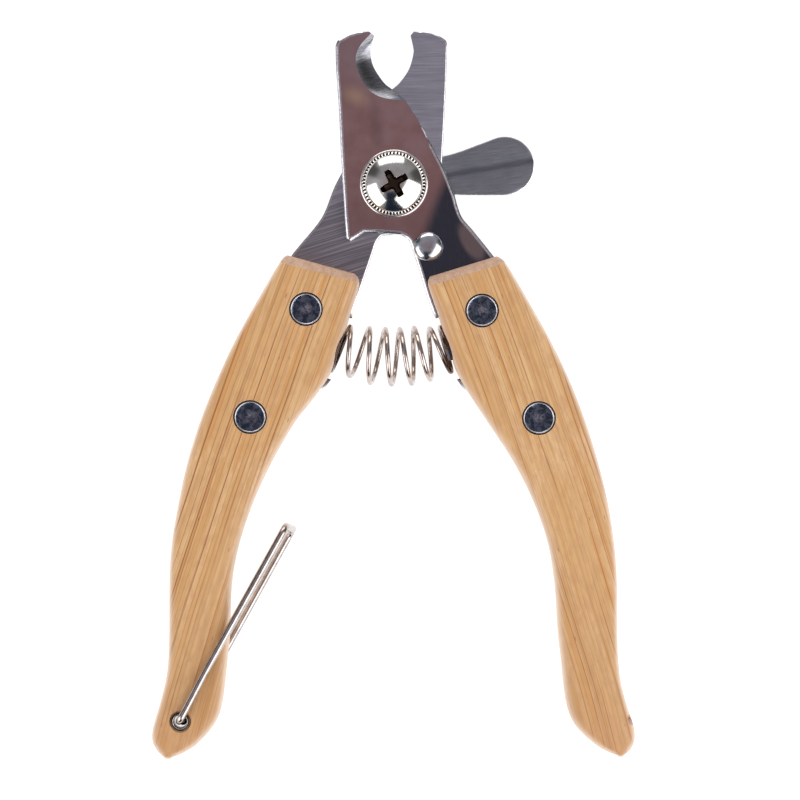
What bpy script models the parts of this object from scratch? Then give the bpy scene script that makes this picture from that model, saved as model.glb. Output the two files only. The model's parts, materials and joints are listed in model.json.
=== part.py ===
"""Pet nail trimmer: two stamped bypass blades on one pivot screw, bamboo handles riveted to
their tangs, a coil spring between the handles, a swing-away nail guard and a wire latch.

Frame: X right, Y towards the jaws, Z up from the surface it lies on.
The origin is on the pivot screw's axis, at the end of the screw. Lengths below are in
millimetres and angles in degrees; they become metres when a mesh is made.
"""

import math

import bmesh
import bpy
from mathutils import Vector
from mathutils.geometry import delaunay_2d_cdt

MM = 0.001

# ---------------------------------------------------------------- driving dimensions
HANDLE_MID_Z = 7.5          # mid-plane of the handles and of the spring
HANDLE_HALF = 7.5           # half thickness of a handle near the blades
TAIL_HALF = 5.6             # half thickness of a handle's tail, which the latch straddles
TAPER_FROM, TAPER_TO = -50.0, -63.0   # the thickness changes between these Y values
HANDLE_EDGE = 1.7           # rounding of the handles' long edges
END_CHAMFER = 2.2           # length of the chamfer at a handle's blade end

REAR_Z = (5.2, 7.4)         # rear blade, back and front face
FRONT_Z = (7.6, 9.8)        # front blade
GUARD_Z = (4.2, 5.0)        # nail guard
WAVE_Z = 3.78               # middle of the wave washer
NUT_Z = (0.2, 3.3)
WASHER_Z = (9.95, 11.0)     # serrated washer
HEAD_Z = 11.15              # underside of the screw's head
HEAD_TOP = 13.7
PIVOT_R = 3.0               # M6 screw
PIVOT_HOLE_R = 3.3
SLOT_GAP = 0.3              # tang to slot, all round

STOP = (7.1, -13.0)         # stop rivet
STOP_SHANK_R = 1.75
RIVETS = {
    "left_upper": (-18.1, -25.9),
    "left_lower": (-29.6, -48.1),
    "right_upper": (18.1, -26.2),
    "right_lower": (29.8, -48.3),
}
RIVET_HOLE_R = 2.3
COUNTERBORE_R, COUNTERBORE_DEPTH = 3.6, 1.7
RIVET_HEAD_R = 3.3

SPRING_ARC = 35.7           # radius of the spring's bent axis, about the pivot
SPRING_R = 5.7              # mean radius of its coils
WIRE_R = 0.5
LEFT_SEAT, RIGHT_SEAT = 20.9, 19.3    # floor of the spring seats, degrees off straight down
SEAT_HOLE_R = 6.6

EYELET = (-44.0, -110.8)
EYELET_R = 1.35             # inside radius of the eyelet
BAIL_R = 0.75               # latch wire
BAIL_ANGLE = 61.0           # direction of the latch, anticlockwise from +X
BAIL_REACH = 46.5
BAIL_LEAN = (0.3, -0.5)     # how far sideways the front and back leg lean in the eyelet


# ---------------------------------------------------------------- small helpers
def polar(r, deg):
    """A point at radius r from the pivot, deg to the right of straight down."""
    a = math.radians(deg)
    return (r * math.sin(a), -r * math.cos(a))


def smooth(points, per=3):
    """A Catmull-Rom curve through the points, with per steps between two of them."""
    out = []
    n = len(points)
    for i in range(n - 1):
        p0, p1, p2, p3 = (
            points[max(i - 1, 0)], points[i], points[i + 1], points[min(i + 2, n - 1)],
        )
        for k in range(per):
            t = k / per
            out.append(tuple(
                0.5 * (2 * b + (c - a) * t + (2 * a - 5 * b + 4 * c - d) * t * t
                       + (3 * b - a - 3 * c + d) * t ** 3)
                for a, b, c, d in zip(p0, p1, p2, p3)))
    out.append(tuple(points[-1]))
    return out


def resample(points, distances):
    """Points along a polyline at the given fractions of its length."""
    lengths = [0.0]
    for a, b in zip(points, points[1:]):
        lengths.append(lengths[-1] + math.dist(a, b))
    out = []
    for f in distances:
        s = f * lengths[-1]
        i = max(j for j, v in enumerate(lengths) if v <= s + 1e-9)
        i = min(i, len(points) - 2)
        t = (s - lengths[i]) / (lengths[i + 1] - lengths[i])
        out.append(tuple(a + (b - a) * t for a, b in zip(points[i], points[i + 1])))
    return out


def offset(outline, d):
    """A closed anticlockwise outline moved outwards by d."""
    n = len(outline)
    out = []
    for i in range(n):
        (x0, y0), (x1, y1), (x2, y2) = outline[i - 1], outline[i], outline[(i + 1) % n]
        a, b = Vector((x1 - x0, y1 - y0)).normalized(), Vector((x2 - x1, y2 - y1)).normalized()
        na, nb = Vector((a.y, -a.x)), Vector((b.y, -b.x))
        m = na + nb
        m = m / max(m.length_squared / 2, 0.6)
        out.append((x1 + d * m.x, y1 + d * m.y))
    return out


def area(outline):
    return sum(a[0] * b[1] - b[0] * a[1] for a, b in zip(outline, outline[1:] + outline[:1])) / 2


MATERIALS = {}


def material(name, colour, roughness, metallic):
    if name not in MATERIALS:
        m = bpy.data.materials.new(name)
        m.use_nodes = True
        shader = m.node_tree.nodes["Principled BSDF"]
        shader.inputs["Base Color"].default_value = (*colour, 1)
        shader.inputs["Roughness"].default_value = roughness
        shader.inputs["Metallic"].default_value = metallic
        MATERIALS[name] = m
    return MATERIALS[name]


FRONT_STEEL = ("front_steel", (0.20, 0.13, 0.13), 0.18, 1.0)
REAR_STEEL = ("rear_steel", (0.30, 0.29, 0.33), 0.32, 1.0)
GUARD_STEEL = ("guard_steel", (0.32, 0.32, 0.34), 0.28, 1.0)
NICKEL = ("nickel", (0.70, 0.68, 0.68), 0.15, 1.0)
DARK_RIVET = ("dark_rivet", (0.10, 0.11, 0.15), 0.25, 1.0)
WIRE = ("wire", (0.62, 0.60, 0.60), 0.15, 1.0)
BAMBOO = ("bamboo", (0.66, 0.43, 0.20), 0.50, 0.0)
CUTTER = ("cutter", (1, 0, 0), 0.5, 0.0)


def add(name, bm, finish, parent=None, sharp=30.0):
    """Turns a bmesh, in millimetres, into a named object under its parent."""
    bmesh.ops.scale(bm, vec=(MM, MM, MM), verts=bm.verts)
    bmesh.ops.recalc_face_normals(bm, faces=bm.faces)
    mesh = bpy.data.meshes.new(name)
    bm.to_mesh(mesh)
    bm.free()
    mesh.materials.append(material(*finish))
    mesh.shade_smooth()
    mesh.set_sharp_from_angle(angle=math.radians(sharp))
    obj = bpy.data.objects.new(name, mesh)
    bpy.context.scene.collection.objects.link(obj)
    if parent is not None:
        obj.parent = parent
        obj.matrix_parent_inverse = parent.matrix_world.inverted()
    return obj


def cut(obj, bm, name):
    """Cuts a bmesh, in millimetres, out of an object."""
    tool = add("cut_" + name, bm, CUTTER, obj.parent)
    tool.hide_render = True
    tool.display_type = "WIRE"
    mod = obj.modifiers.new(name, "BOOLEAN")
    mod.operation = "DIFFERENCE"
    mod.solver = "EXACT"
    mod.object = tool
    return tool


def cap(bm, ring):
    """Fills a ring of vertices: a level outline with triangles inside it, any other as one face."""
    if max(v.co.z for v in ring) - min(v.co.z for v in ring) > 1e-6 or len(ring) < 13:
        bm.faces.new(ring)
        return
    n = len(ring)
    flat = [v.co.to_2d() for v in ring]
    turn = 1 if area([tuple(p) for p in flat]) > 0 else -1
    order = list(range(n))[::turn]
    made = delaunay_2d_cdt([flat[i] for i in order], [(i, (i + 1) % n) for i in range(n)], [],
                           1, 1e-7)
    for a, b, c in made[2]:
        face = [ring[order[made[3][i][0]]] for i in (a, b, c)]
        bm.faces.new(face[::turn])


def loft(bm, rings, close=True):
    """Bridges rings of equal counts and caps both ends."""
    verts = [[bm.verts.new(p) for p in ring] for ring in rings]
    n = len(verts[0])
    for a, b in zip(verts, verts[1:]):
        for i in range(n):
            j = (i + 1) % n
            bm.faces.new((a[i], a[j], b[j], b[i]))
    if close:
        cap(bm, verts[0][::-1])
        cap(bm, verts[-1])
    return verts


def plate(outline_back, outline_front, z):
    """A stamped plate whose back and front outlines have matching points."""
    bm = bmesh.new()
    if area(outline_back) < 0:
        outline_back, outline_front = outline_back[::-1], outline_front[::-1]
    loft(bm, [[(x, y, z[0]) for x, y in outline_back], [(x, y, z[1]) for x, y in outline_front]])
    return bm


def disc(centre, r, z0, z1, sides=24):
    bm = bmesh.new()
    ring = [(centre[0] + r * math.cos(math.tau * k / sides),
             centre[1] + r * math.sin(math.tau * k / sides)) for k in range(sides)]
    loft(bm, [[(x, y, z) for x, y in ring] for z in (z0, z1)])
    return bm


def turned(centre, profile, sides=24):
    """A solid of revolution about a Z axis. The profile is a closed run of (radius, z)
    points; radius 0 at both ends makes it solid."""
    bm = bmesh.new()
    solid = profile[0][0] == 0
    body = profile[1:-1] if solid else profile
    rings = [[bm.verts.new((centre[0] + r * math.cos(math.tau * k / sides),
                            centre[1] + r * math.sin(math.tau * k / sides), z))
              for k in range(sides)] for r, z in body]
    pairs = list(zip(rings, rings[1:])) + ([] if solid else [(rings[-1], rings[0])])
    for a, b in pairs:
        for k in range(sides):
            j = (k + 1) % sides
            bm.faces.new((a[k], a[j], b[j], b[k]))
    if solid:
        for ring, (_, z) in ((rings[0], profile[0]), (rings[-1], profile[-1])):
            tip = bm.verts.new((centre[0], centre[1], z))
            for k in range(sides):
                bm.faces.new((ring[k], ring[(k + 1) % sides], tip))
    return bm


def sweep(path, r, sides):
    """A round wire along a path, with flat ends."""
    bm = bmesh.new()
    pts = [Vector(p) for p in path]
    tangents = []
    for i in range(len(pts)):
        t = pts[min(i + 1, len(pts) - 1)] - pts[max(i - 1, 0)]
        tangents.append(t.normalized())
    normal = tangents[0].orthogonal().normalized()
    rings = []
    for p, t in zip(pts, tangents):
        normal = (normal - t * normal.dot(t)).normalized()
        side = t.cross(normal)
        rings.append([p + r * (math.cos(math.tau * k / sides) * normal
                               + math.sin(math.tau * k / sides) * side) for k in range(sides)])
    loft(bm, rings)
    return bm


def empty(name, at):
    e = bpy.data.objects.new(name, None)
    e.empty_display_size = 0.01
    bpy.context.scene.collection.objects.link(e)
    e.location = (at[0] * MM, at[1] * MM, 0)
    bpy.context.view_layer.update()
    return e


# ---------------------------------------------------------------- outlines
# Cutting edges, from the tip down to where the two blades cross, and the line where each
# hollow grind meets the blade's other face.
FRONT_EDGE = [(-4.1, 30.6), (-4.7, 28.3), (-4.8, 26.4), (-4.1, 23.9), (-2.1, 20.9),
              (-0.4, 19.5), (2.3, 17.2)]
FRONT_GRIND = [(-4.7, 31.0), (-7.0, 28.4), (-7.9, 25.8), (-7.2, 22.6), (-5.1, 19.3),
               (-2.2, 17.7), (2.3, 17.1)]
REAR_EDGE = [(3.4, 30.6), (3.9, 28.4), (4.0, 26.9), (3.1, 23.7), (1.2, 20.9),
             (-0.5, 19.4), (-3.1, 17.2)]
REAR_GRIND = [(4.0, 31.1), (6.2, 28.4), (7.1, 25.8), (6.4, 22.6), (4.3, 19.3),
              (1.4, 17.7), (-3.1, 17.1)]


def seat_edge(side, angle, peg_angle):
    """The inner edge of a tang round the spring: a notch with a peg inside the coil."""
    run = [(29.1, 17.3), (29.1, angle), (33.1, angle), (33.1, peg_angle + 0.6), (33.6, peg_angle),
           (37.8, peg_angle), (38.3, peg_angle + 0.6), (38.3, angle), (42.4, angle), (42.4, 17.8)]
    return [(side * x, y) for x, y in (polar(r, a) for r, a in run)]


def front_outlines(steps=10):
    """Back-face and front-face outline of the front blade, clockwise from the jaw's tip."""
    even = [k / steps for k in range(steps + 1)]
    edge = resample(smooth(FRONT_EDGE, 6), even)
    grind = resample(smooth(FRONT_GRIND, 6), even)
    rest = (
        smooth([(5.0, 13.1), (7.9, 7.9), (10.2, 3.4), (12.4, -2.1), (13.1, -4.5), (14.1, -7.0),
                (16.2, -9.5), (18.4, -12.2), (20.6, -15.0)], 2)
        + smooth([(22.9, -19.2), (25.8, -25.0), (28.8, -32.0), (31.8, -39.5), (34.0, -46.0),
                  (34.6, -50.0), (33.6, -53.4), (30.4, -54.6), (27.2, -52.8), (23.5, -49.0),
                  (19.5, -45.6), (16.6, -44.0), (14.0, -41.9)], 2)
        + seat_edge(1, RIGHT_SEAT, 17.1)[::-1]
        + smooth([(7.9, -26.4), (6.5, -22.3), (5.3, -18.2), (3.8, -13.6), (3.0, -11.6),
                  (1.3, -10.5)], 2)
        + [(-2.5, -10.2), (-6.1, -10.1), (-9.0, -11.9)]
        + smooth([(-9.8, -11.3), (-10.2, -6.4), (-11.0, 7.0), (-11.4, 15.3), (-12.0, 23.9)], 2)
        + smooth([(-12.1, 28.4), (-11.6, 29.5), (-10.4, 30.3), (-9.0, 31.0), (-6.9, 31.5),
                  (-5.2, 31.4)], 2)
    )
    return edge + rest, grind + rest


def rear_outlines(steps=10):
    """Back-face and front-face outline of the rear blade, anticlockwise from the tip."""
    even = [k / steps for k in range(steps + 1)]
    edge = resample(smooth(REAR_EDGE, 6), even)
    grind = resample(smooth(REAR_GRIND, 6), even)
    rest = (
        smooth([(-5.6, 13.1), (-8.4, 7.9), (-10.5, 2.9), (-12.4, -0.9), (-14.3, -5.8),
                (-15.9, -8.4), (-18.9, -12.0), (-20.9, -14.4)], 2)
        + smooth([(-23.2, -18.6), (-26.2, -25.0), (-29.2, -32.0), (-32.2, -39.5),
                  (-34.2, -46.0), (-34.6, -50.0), (-33.4, -53.3), (-30.2, -54.4),
                  (-27.0, -52.6), (-23.3, -48.9), (-19.4, -45.5), (-16.6, -43.8),
                  (-14.0, -41.7)], 2)
        + seat_edge(-1, LEFT_SEAT, 18.4)[::-1]
        + smooth([(-8.6, -26.4), (-7.1, -22.3), (-5.7, -18.2), (-4.4, -14.4), (-3.6, -12.0),
                  (-2.6, -10.7)], 2)
        + [(1.0, -10.3), (6.1, -10.1), (9.0, -11.9)]
        + smooth([(9.5, -11.3), (9.7, -5.0), (9.9, 3.5), (10.4, 12.8), (10.8, 21.5)], 2)
        + smooth([(11.0, 28.6), (10.7, 29.6), (9.6, 30.4), (8.4, 30.9), (6.8, 31.4),
                  (4.1, 31.5)], 2)
    )
    return grind + rest, edge + rest


# Long edges of the handles, from the blade end to the tip of the tail.
LEFT_OUTER = [(-22.1, -15.2), (-23.6, -16.7), (-28.2, -24.3), (-32.8, -32.6), (-36.6, -40.8),
              (-39.9, -49.1), (-42.5, -57.4), (-44.3, -65.6), (-45.7, -73.9), (-46.2, -82.0),
              (-46.3, -94.0), (-46.7, -100.7), (-48.0, -106.5), (-49.6, -112.0),
              (-49.9, -114.8), (-49.1, -116.9), (-47.6, -118.4)]
LEFT_INNER = [(-8.5, -18.7), (-7.8, -21.2), (-9.8, -28.5), (-11.5, -34.7), (-13.5, -39.8),
              (-17.0, -44.8), (-20.4, -49.1), (-25.2, -57.4), (-29.0, -65.6), (-31.8, -73.9),
              (-33.4, -82.1), (-33.8, -92.0), (-34.4, -98.6), (-35.4, -106.9), (-36.9, -111.2),
              (-40.4, -115.4), (-45.6, -118.4)]
RIGHT_OUTER = [(21.2, -15.0), (23.1, -16.6), (27.7, -24.3), (32.3, -32.6), (36.2, -40.8),
               (39.4, -49.1), (42.0, -57.4), (44.0, -65.6), (45.3, -73.9), (45.9, -82.0),
               (46.0, -94.0), (46.6, -102.0), (48.1, -108.0), (49.3, -111.5), (49.6, -114.3),
               (48.9, -116.5), (47.6, -117.9)]
RIGHT_INNER = [(7.4, -19.2), (7.1, -21.2), (9.4, -28.0), (11.4, -34.7), (13.4, -39.8),
               (16.7, -45.2), (19.3, -49.1), (24.7, -57.4), (28.8, -65.6), (31.7, -73.9),
               (33.1, -82.1), (33.8, -92.0), (34.5, -98.6), (35.5, -106.9), (37.3, -111.5),
               (41.0, -115.4), (45.9, -117.9)]


def half_thickness(y):
    t = min(max((y - TAPER_FROM) / (TAPER_TO - TAPER_FROM), 0), 1)
    t = t * t * (3 - 2 * t)
    return HANDLE_HALF + (TAIL_HALF - HANDLE_HALF) * t


def handle_body(outer, inner, stations=34):
    """Rounded cross-sections from the blade end to the tail."""
    far = 110.0
    even = [0.0, END_CHAMFER / far] + [
        (END_CHAMFER + (far - END_CHAMFER) * (k / (stations - 2)) ** 0.97) / far
        for k in range(1, stations - 1)]
    a, b = resample(smooth(outer, 4), even), resample(smooth(inner, 4), even)
    rings = []
    for i, ((xo, yo), (xi, yi)) in enumerate(zip(a, b)):
        width = math.hypot(xi - xo, yi - yo)
        ux, uy = (xi - xo) / width, (yi - yo) / width
        h = half_thickness((yo + yi) / 2) - (1.9 if i == 0 else 0)
        if i > stations - 5:
            h -= (0.15, 0.5, 1.1, 2.0)[i - stations + 4]
        r = min(HANDLE_EDGE, width * 0.42, h * 0.42)
        ring = []
        for sx, sz in ((1, -1), (1, 1), (-1, 1), (-1, -1)):
            cx, cz = width / 2 + sx * (width / 2 - r), sz * (h - r)
            start = {(1, -1): -90, (1, 1): 0, (-1, 1): 90, (-1, -1): 180}[(sx, sz)]
            for k in range(3):
                t = math.radians(start + 45 * k)
                ring.append((xo + ux * (cx + r * math.cos(t)), yo + uy * (cx + r * math.cos(t)),
                             HANDLE_MID_Z + cz + r * math.sin(t)))
        rings.append(ring)
    bm = bmesh.new()
    loft(bm, rings)
    return bm


# ---------------------------------------------------------------- the model
for old in list(bpy.data.objects):
    bpy.data.objects.remove(old, do_unlink=True)

root = empty("frame_pivot", (0, 0))
arm = empty("squeeze_pivot", (0, 0))
guard_axis = empty("guard_pivot", (0, 0))
bail_axis = empty("bail_pivot", EYELET)

# Blades
back, front = front_outlines()
front_blade = add("front_blade", plate(back, front, FRONT_Z), FRONT_STEEL, arm)
cut(front_blade, disc((0, 0), PIVOT_HOLE_R, 7, 10.5, 32), "front_pivot_hole")
cut(front_blade, disc(STOP, STOP_SHANK_R + 0.3, 7, 10.5), "stop_hole")
for key in ("right_upper", "right_lower"):
    cut(front_blade, disc(RIVETS[key], RIVET_HOLE_R, 7, 10.5), key + "_tang_hole")

back, front = rear_outlines()
rear_blade = add("rear_blade", plate(back, front, REAR_Z), REAR_STEEL, root)
cut(rear_blade, disc((0, 0), PIVOT_HOLE_R, 4.5, 8, 32), "rear_pivot_hole")
for key in ("left_upper", "left_lower"):
    cut(rear_blade, disc(RIVETS[key], RIVET_HOLE_R, 4.5, 8), key + "_tang_hole")

# Pivot screw with a cross recess, its washers and its nut
dome_r, sag = 5.95, HEAD_TOP - HEAD_Z - 0.5
ball = (dome_r ** 2 + sag ** 2) / (2 * sag)
dome = [(ball * math.sin(a), HEAD_TOP - ball * (1 - math.cos(a)))
        for a in (math.asin(dome_r / ball) * k / 5 for k in range(1, 6))]
profile = ([(0, HEAD_TOP)] + dome + [(dome_r, HEAD_Z), (PIVOT_R, HEAD_Z), (PIVOT_R, 0.35),
                                     (PIVOT_R - 0.35, 0), (0, 0)])
screw = add("pivot_screw", turned((0, 0), profile, 32), NICKEL, root)
bm = bmesh.new()
rings = []
for depth, reach, half in ((14.5, 3.1, 0.72), (HEAD_TOP - 0.05, 2.9, 0.66), (11.9, 1.7, 0.42),
                           (11.3, 0.5, 0.3)):
    ring = []
    for k in range(4):
        a = math.radians(30 + 90 * k)
        c, s = math.cos(a), math.sin(a)
        for u, v in ((half * 1.15, -half), (reach, -half), (reach, half)):
            ring.append((u * c - v * s, u * s + v * c, depth))
    rings.append(ring)
loft(bm, rings)
cut(screw, bm, "cross_recess")

add("serrated_washer", turned((0, 0), [
    (3.35, WASHER_Z[1]), (5.9, WASHER_Z[1]), (6.75, WASHER_Z[1] - 0.12), (7.0, WASHER_Z[1] - 0.4),
    (7.0, WASHER_Z[0]), (3.35, WASHER_Z[0])], 40), NICKEL, root)

bm = bmesh.new()
rings = []
for k in range(48):
    a = math.tau * k / 48
    z = WAVE_Z + 0.1 * math.sin(3 * a)
    rings.append([(r * math.cos(a), r * math.sin(a), z + dz)
                  for r, dz in ((5.5, 0.17), (5.5, -0.17), (3.35, -0.17), (3.35, 0.17))])
verts = [[bm.verts.new(p) for p in ring] for ring in rings]
for k in range(48):
    a, b = verts[k], verts[(k + 1) % 48]
    for i in range(4):
        j = (i + 1) % 4
        bm.faces.new((a[i], a[j], b[j], b[i]))
add("wave_washer", bm, NICKEL, root)

bm = bmesh.new()
flat = 5.0 / math.cos(math.radians(30))
rings = []
for z, f in ((NUT_Z[0], 0.93), (NUT_Z[0] + 0.35, 1.0), (NUT_Z[1] - 0.35, 1.0), (NUT_Z[1], 0.93)):
    rings.append([(f * flat * math.cos(math.radians(60 * k + 15)),
                   f * flat * math.sin(math.radians(60 * k + 15)), z) for k in range(6)])
loft(bm, rings)
nut = add("pivot_nut", bm, NICKEL, root)
cut(nut, disc((0, 0), PIVOT_HOLE_R, -1, 4.5, 32), "nut_bore")

# Nail guard: a thin paddle on the pivot, with a pressed crease along it
paddle = [(22.9 + 6.1 * math.cos(math.radians(a)), 3.75 + 6.1 * math.sin(math.radians(a)))
          for a in range(-85, 116, 20)]
hub = [(7.0 * math.cos(math.radians(a)), 7.0 * math.sin(math.radians(a)))
       for a in range(62, 322, 20)]
outline = ([(12.1, -2.3)] + paddle + [(16.4, 7.8), (13.1, 6.6), (10.0, 5.8), (6.5, 5.4)] + hub
           + [(7.2, -2.8)])
guard = add("nail_guard", plate(outline, outline, GUARD_Z), GUARD_STEEL, guard_axis)
cut(guard, disc((0, 0), PIVOT_HOLE_R, 3.5, 5.6, 32), "guard_hole")
bm = bmesh.new()
a = math.radians(9.7)
c, s = math.cos(a), math.sin(a)
section = [(0.0, GUARD_Z[1] - 0.22), (0.75, GUARD_Z[1] + 0.3), (-0.75, GUARD_Z[1] + 0.3)]
loft(bm, [[(u * c - v * s, u * s + v * c, z) for v, z in section] for u in (9.0, 30.0)])
cut(guard, bm, "crease")

# Stop rivet, with its shank in the rear blade's plane
add("stop_rivet", turned(STOP, [
    (0, 11.55), (1.6, 11.35), (2.6, 10.75), (3.1, 9.95), (STOP_SHANK_R, 9.95),
    (STOP_SHANK_R, 5.6), (STOP_SHANK_R - 0.3, 5.3), (0, 5.3)]), NICKEL, arm)

# Handles
for side, parent, outer, inner, blade in (
        ("left", root, LEFT_OUTER, LEFT_INNER, rear_outlines()[0]),
        ("right", arm, RIGHT_OUTER, RIGHT_INNER, front_outlines()[0])):
    sign = -1 if side == "left" else 1
    z = REAR_Z if side == "left" else FRONT_Z
    seat = LEFT_SEAT if side == "left" else RIGHT_SEAT
    handle = add(side + "_handle", handle_body(outer, inner), BAMBOO, parent)
    # The slot follows the tang, and is open at the handle's end and at its inner edge.
    tang = [p for p in blade if sign * p[0] > 12.0 and p[1] < -7.0 and
            sign * p[0] > 0.38 * -p[1] + (2.5 if p[1] > -41 else -4.0)]
    opening = [polar(42.5, sign * 14.0), polar(14.0, sign * 14.0)]
    ring = [(sign * 14.0, -6.0)] + tang + opening
    if area(ring) < 0:
        ring = ring[::-1]
    cut(handle, plate(offset(ring, SLOT_GAP), offset(ring, SLOT_GAP),
                      (z[0] - SLOT_GAP, z[1] + SLOT_GAP)), side + "_slot")
    # A round seat holds the end of the spring.
    bm = bmesh.new()
    centre, d = Vector((*polar(SPRING_ARC, sign * seat), HANDLE_MID_Z)), math.radians(seat)
    along = Vector((-sign * math.cos(d), -math.sin(d), 0))
    across = Vector((-along.y, along.x, 0))
    rings = [[centre + along * u + SEAT_HOLE_R * (math.cos(math.tau * k / 28) * across
                                                  + math.sin(math.tau * k / 28) * Vector((0, 0, 1)))
              for k in range(28)] for u in (0.0, 6.0)]
    loft(bm, rings)
    cut(handle, bm, side + "_spring_seat")
    for level in ("upper", "lower"):
        at = RIVETS[f"{side}_{level}"]
        cut(handle, disc(at, RIVET_HOLE_R, -1, 16, 20), f"{side}_{level}_hole")
        cut(handle, disc(at, COUNTERBORE_R, 15 - COUNTERBORE_DEPTH, 16), f"{side}_{level}_front")
        cut(handle, disc(at, COUNTERBORE_R, -1, COUNTERBORE_DEPTH), f"{side}_{level}_back")
        # Two-piece rivet: a tube with a head in front, a pin with a head behind
        add(f"{side}_{level}_rivet_front", turned(at, [
            (0, 14.6), (2.9, 14.6), (RIVET_HEAD_R, 14.35), (RIVET_HEAD_R, 13.6), (1.95, 13.6),
            (1.95, 6.0), (1.5, 6.0), (1.5, 12.4), (0, 12.4)], 20), DARK_RIVET, parent)
        add(f"{side}_{level}_rivet_back", turned(at, [
            (0, 11.8), (0.9, 11.8), (1.15, 11.5), (1.15, 1.4), (RIVET_HEAD_R, 1.4),
            (RIVET_HEAD_R, 0.65), (2.9, 0.4), (0, 0.4)], 20), DARK_RIVET, parent)
    if side == "left":
        top, bottom = HANDLE_MID_Z + TAIL_HALF, HANDLE_MID_Z - TAIL_HALF
        cut(handle, disc(EYELET, 1.85, -1, 16, 20), "eyelet_hole")
        cut(handle, disc(EYELET, 2.25, top - 0.65, 16, 20), "eyelet_front")
        cut(handle, disc(EYELET, 2.25, -1, bottom + 0.65, 20), "eyelet_back")
        add("bail_eyelet", turned(EYELET, [
            (EYELET_R, top - 0.2), (EYELET_R + 0.15, top - 0.05), (1.95, top - 0.05),
            (1.95, top - 0.35), (1.55, top - 0.35), (1.55, bottom + 0.35), (1.95, bottom + 0.35),
            (1.95, bottom + 0.05), (EYELET_R + 0.15, bottom + 0.05),
            (EYELET_R, bottom + 0.2)], 20), NICKEL, parent)

# Spring: its axis is bent round the pivot; the two end turns are closed
TURNS = [(-1.0, -19.5), (-0.5, -18.6), (0.0, -17.2), (0.5, -12.9), (1.0, -9.7), (1.5, -6.8),
         (2.0, -3.4), (2.5, -0.7), (3.0, 2.3), (3.5, 5.1), (4.0, 7.9), (4.5, 10.5), (5.0, 13.8),
         (5.5, 17.1), (6.25, 18.0)]


def spring_angle(n):
    for (n0, a0), (n1, a1) in zip(TURNS, TURNS[1:]):
        if n <= n1:
            return a0 + (a1 - a0) * (n - n0) / (n1 - n0)
    return TURNS[-1][1]


path = []
steps = round(7.25 * 14)
for k in range(steps + 1):
    n = -1.0 + 7.25 * k / steps
    a = math.radians(sum(spring_angle(min(max(n + d, -1.0), 6.25)) for d in (-0.12, 0, 0.12)) / 3)
    turn = math.tau * n
    r = SPRING_ARC - SPRING_R * math.cos(turn)
    path.append((r * math.sin(a), -r * math.cos(a), HANDLE_MID_Z + SPRING_R * math.sin(turn)))
add("return_spring", sweep(path, WIRE_R, 6), WIRE, root, 50)

# Latch: a wire loop over both faces of the left handle, its ends turned into the eyelet
a = math.radians(BAIL_ANGLE)
along, left = Vector((math.cos(a), math.sin(a), 0)), Vector((-math.sin(a), math.cos(a), 0))
lift = HANDLE_HALF - BAIL_R - 0.1


def bail_point(u, v, w):
    return Vector((*EYELET, HANDLE_MID_Z)) + along * u + left * v + Vector((0, 0, w))


half_path = [(0, 3.2), (0, lift - 1.2)]
half_path += [(1.2 - 1.2 * math.cos(t), lift - 1.2 + 1.2 * math.sin(t))
              for t in (math.radians(30 * k) for k in range(1, 4))]
half_path += [(12, lift), (24, lift), (36, lift)]
end, bend = BAIL_REACH - BAIL_R, 2.2
half_path += [(end - bend + bend * math.sin(t), lift - bend + bend * math.cos(t))
              for t in (math.radians(22.5 * k) for k in range(5))]
points = ([(u, BAIL_LEAN[0], w) for u, w in half_path]
          + [(u, BAIL_LEAN[1], -w) for u, w in half_path[::-1]])
add("latch_bail", sweep([bail_point(*p) for p in points], BAIL_R, 10), WIRE, bail_axis, 50)
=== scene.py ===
"""Looks of the pet nail trimmer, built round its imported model: fine meshes, procedural
materials, studio light and camera. Shapes are worked out in millimetres, in the frame of
the CAD model, and become metres when a mesh is made."""

import json
import math

import bmesh
import bpy
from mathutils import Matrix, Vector, noise
from mathutils.geometry import delaunay_2d_cdt

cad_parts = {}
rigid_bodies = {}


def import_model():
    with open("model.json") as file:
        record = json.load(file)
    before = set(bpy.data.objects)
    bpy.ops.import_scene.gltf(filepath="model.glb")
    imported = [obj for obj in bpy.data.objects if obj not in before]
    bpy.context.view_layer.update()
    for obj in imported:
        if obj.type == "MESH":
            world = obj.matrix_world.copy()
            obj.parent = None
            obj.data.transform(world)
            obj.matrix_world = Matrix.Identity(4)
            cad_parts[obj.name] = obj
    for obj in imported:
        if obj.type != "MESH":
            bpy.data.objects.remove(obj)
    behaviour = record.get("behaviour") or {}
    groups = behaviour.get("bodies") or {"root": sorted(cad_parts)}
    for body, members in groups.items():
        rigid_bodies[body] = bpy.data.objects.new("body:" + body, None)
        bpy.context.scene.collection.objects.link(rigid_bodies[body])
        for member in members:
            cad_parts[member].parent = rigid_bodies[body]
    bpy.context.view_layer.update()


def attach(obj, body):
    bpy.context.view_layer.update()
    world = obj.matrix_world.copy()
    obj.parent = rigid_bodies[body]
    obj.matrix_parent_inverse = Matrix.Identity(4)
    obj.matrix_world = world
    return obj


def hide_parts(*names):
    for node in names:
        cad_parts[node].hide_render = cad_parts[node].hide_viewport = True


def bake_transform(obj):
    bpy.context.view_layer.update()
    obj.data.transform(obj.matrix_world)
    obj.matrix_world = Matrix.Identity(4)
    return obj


for old in list(bpy.data.objects):
    bpy.data.objects.remove(old, do_unlink=True)

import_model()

MM = 0.001
TAU = math.tau

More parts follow.
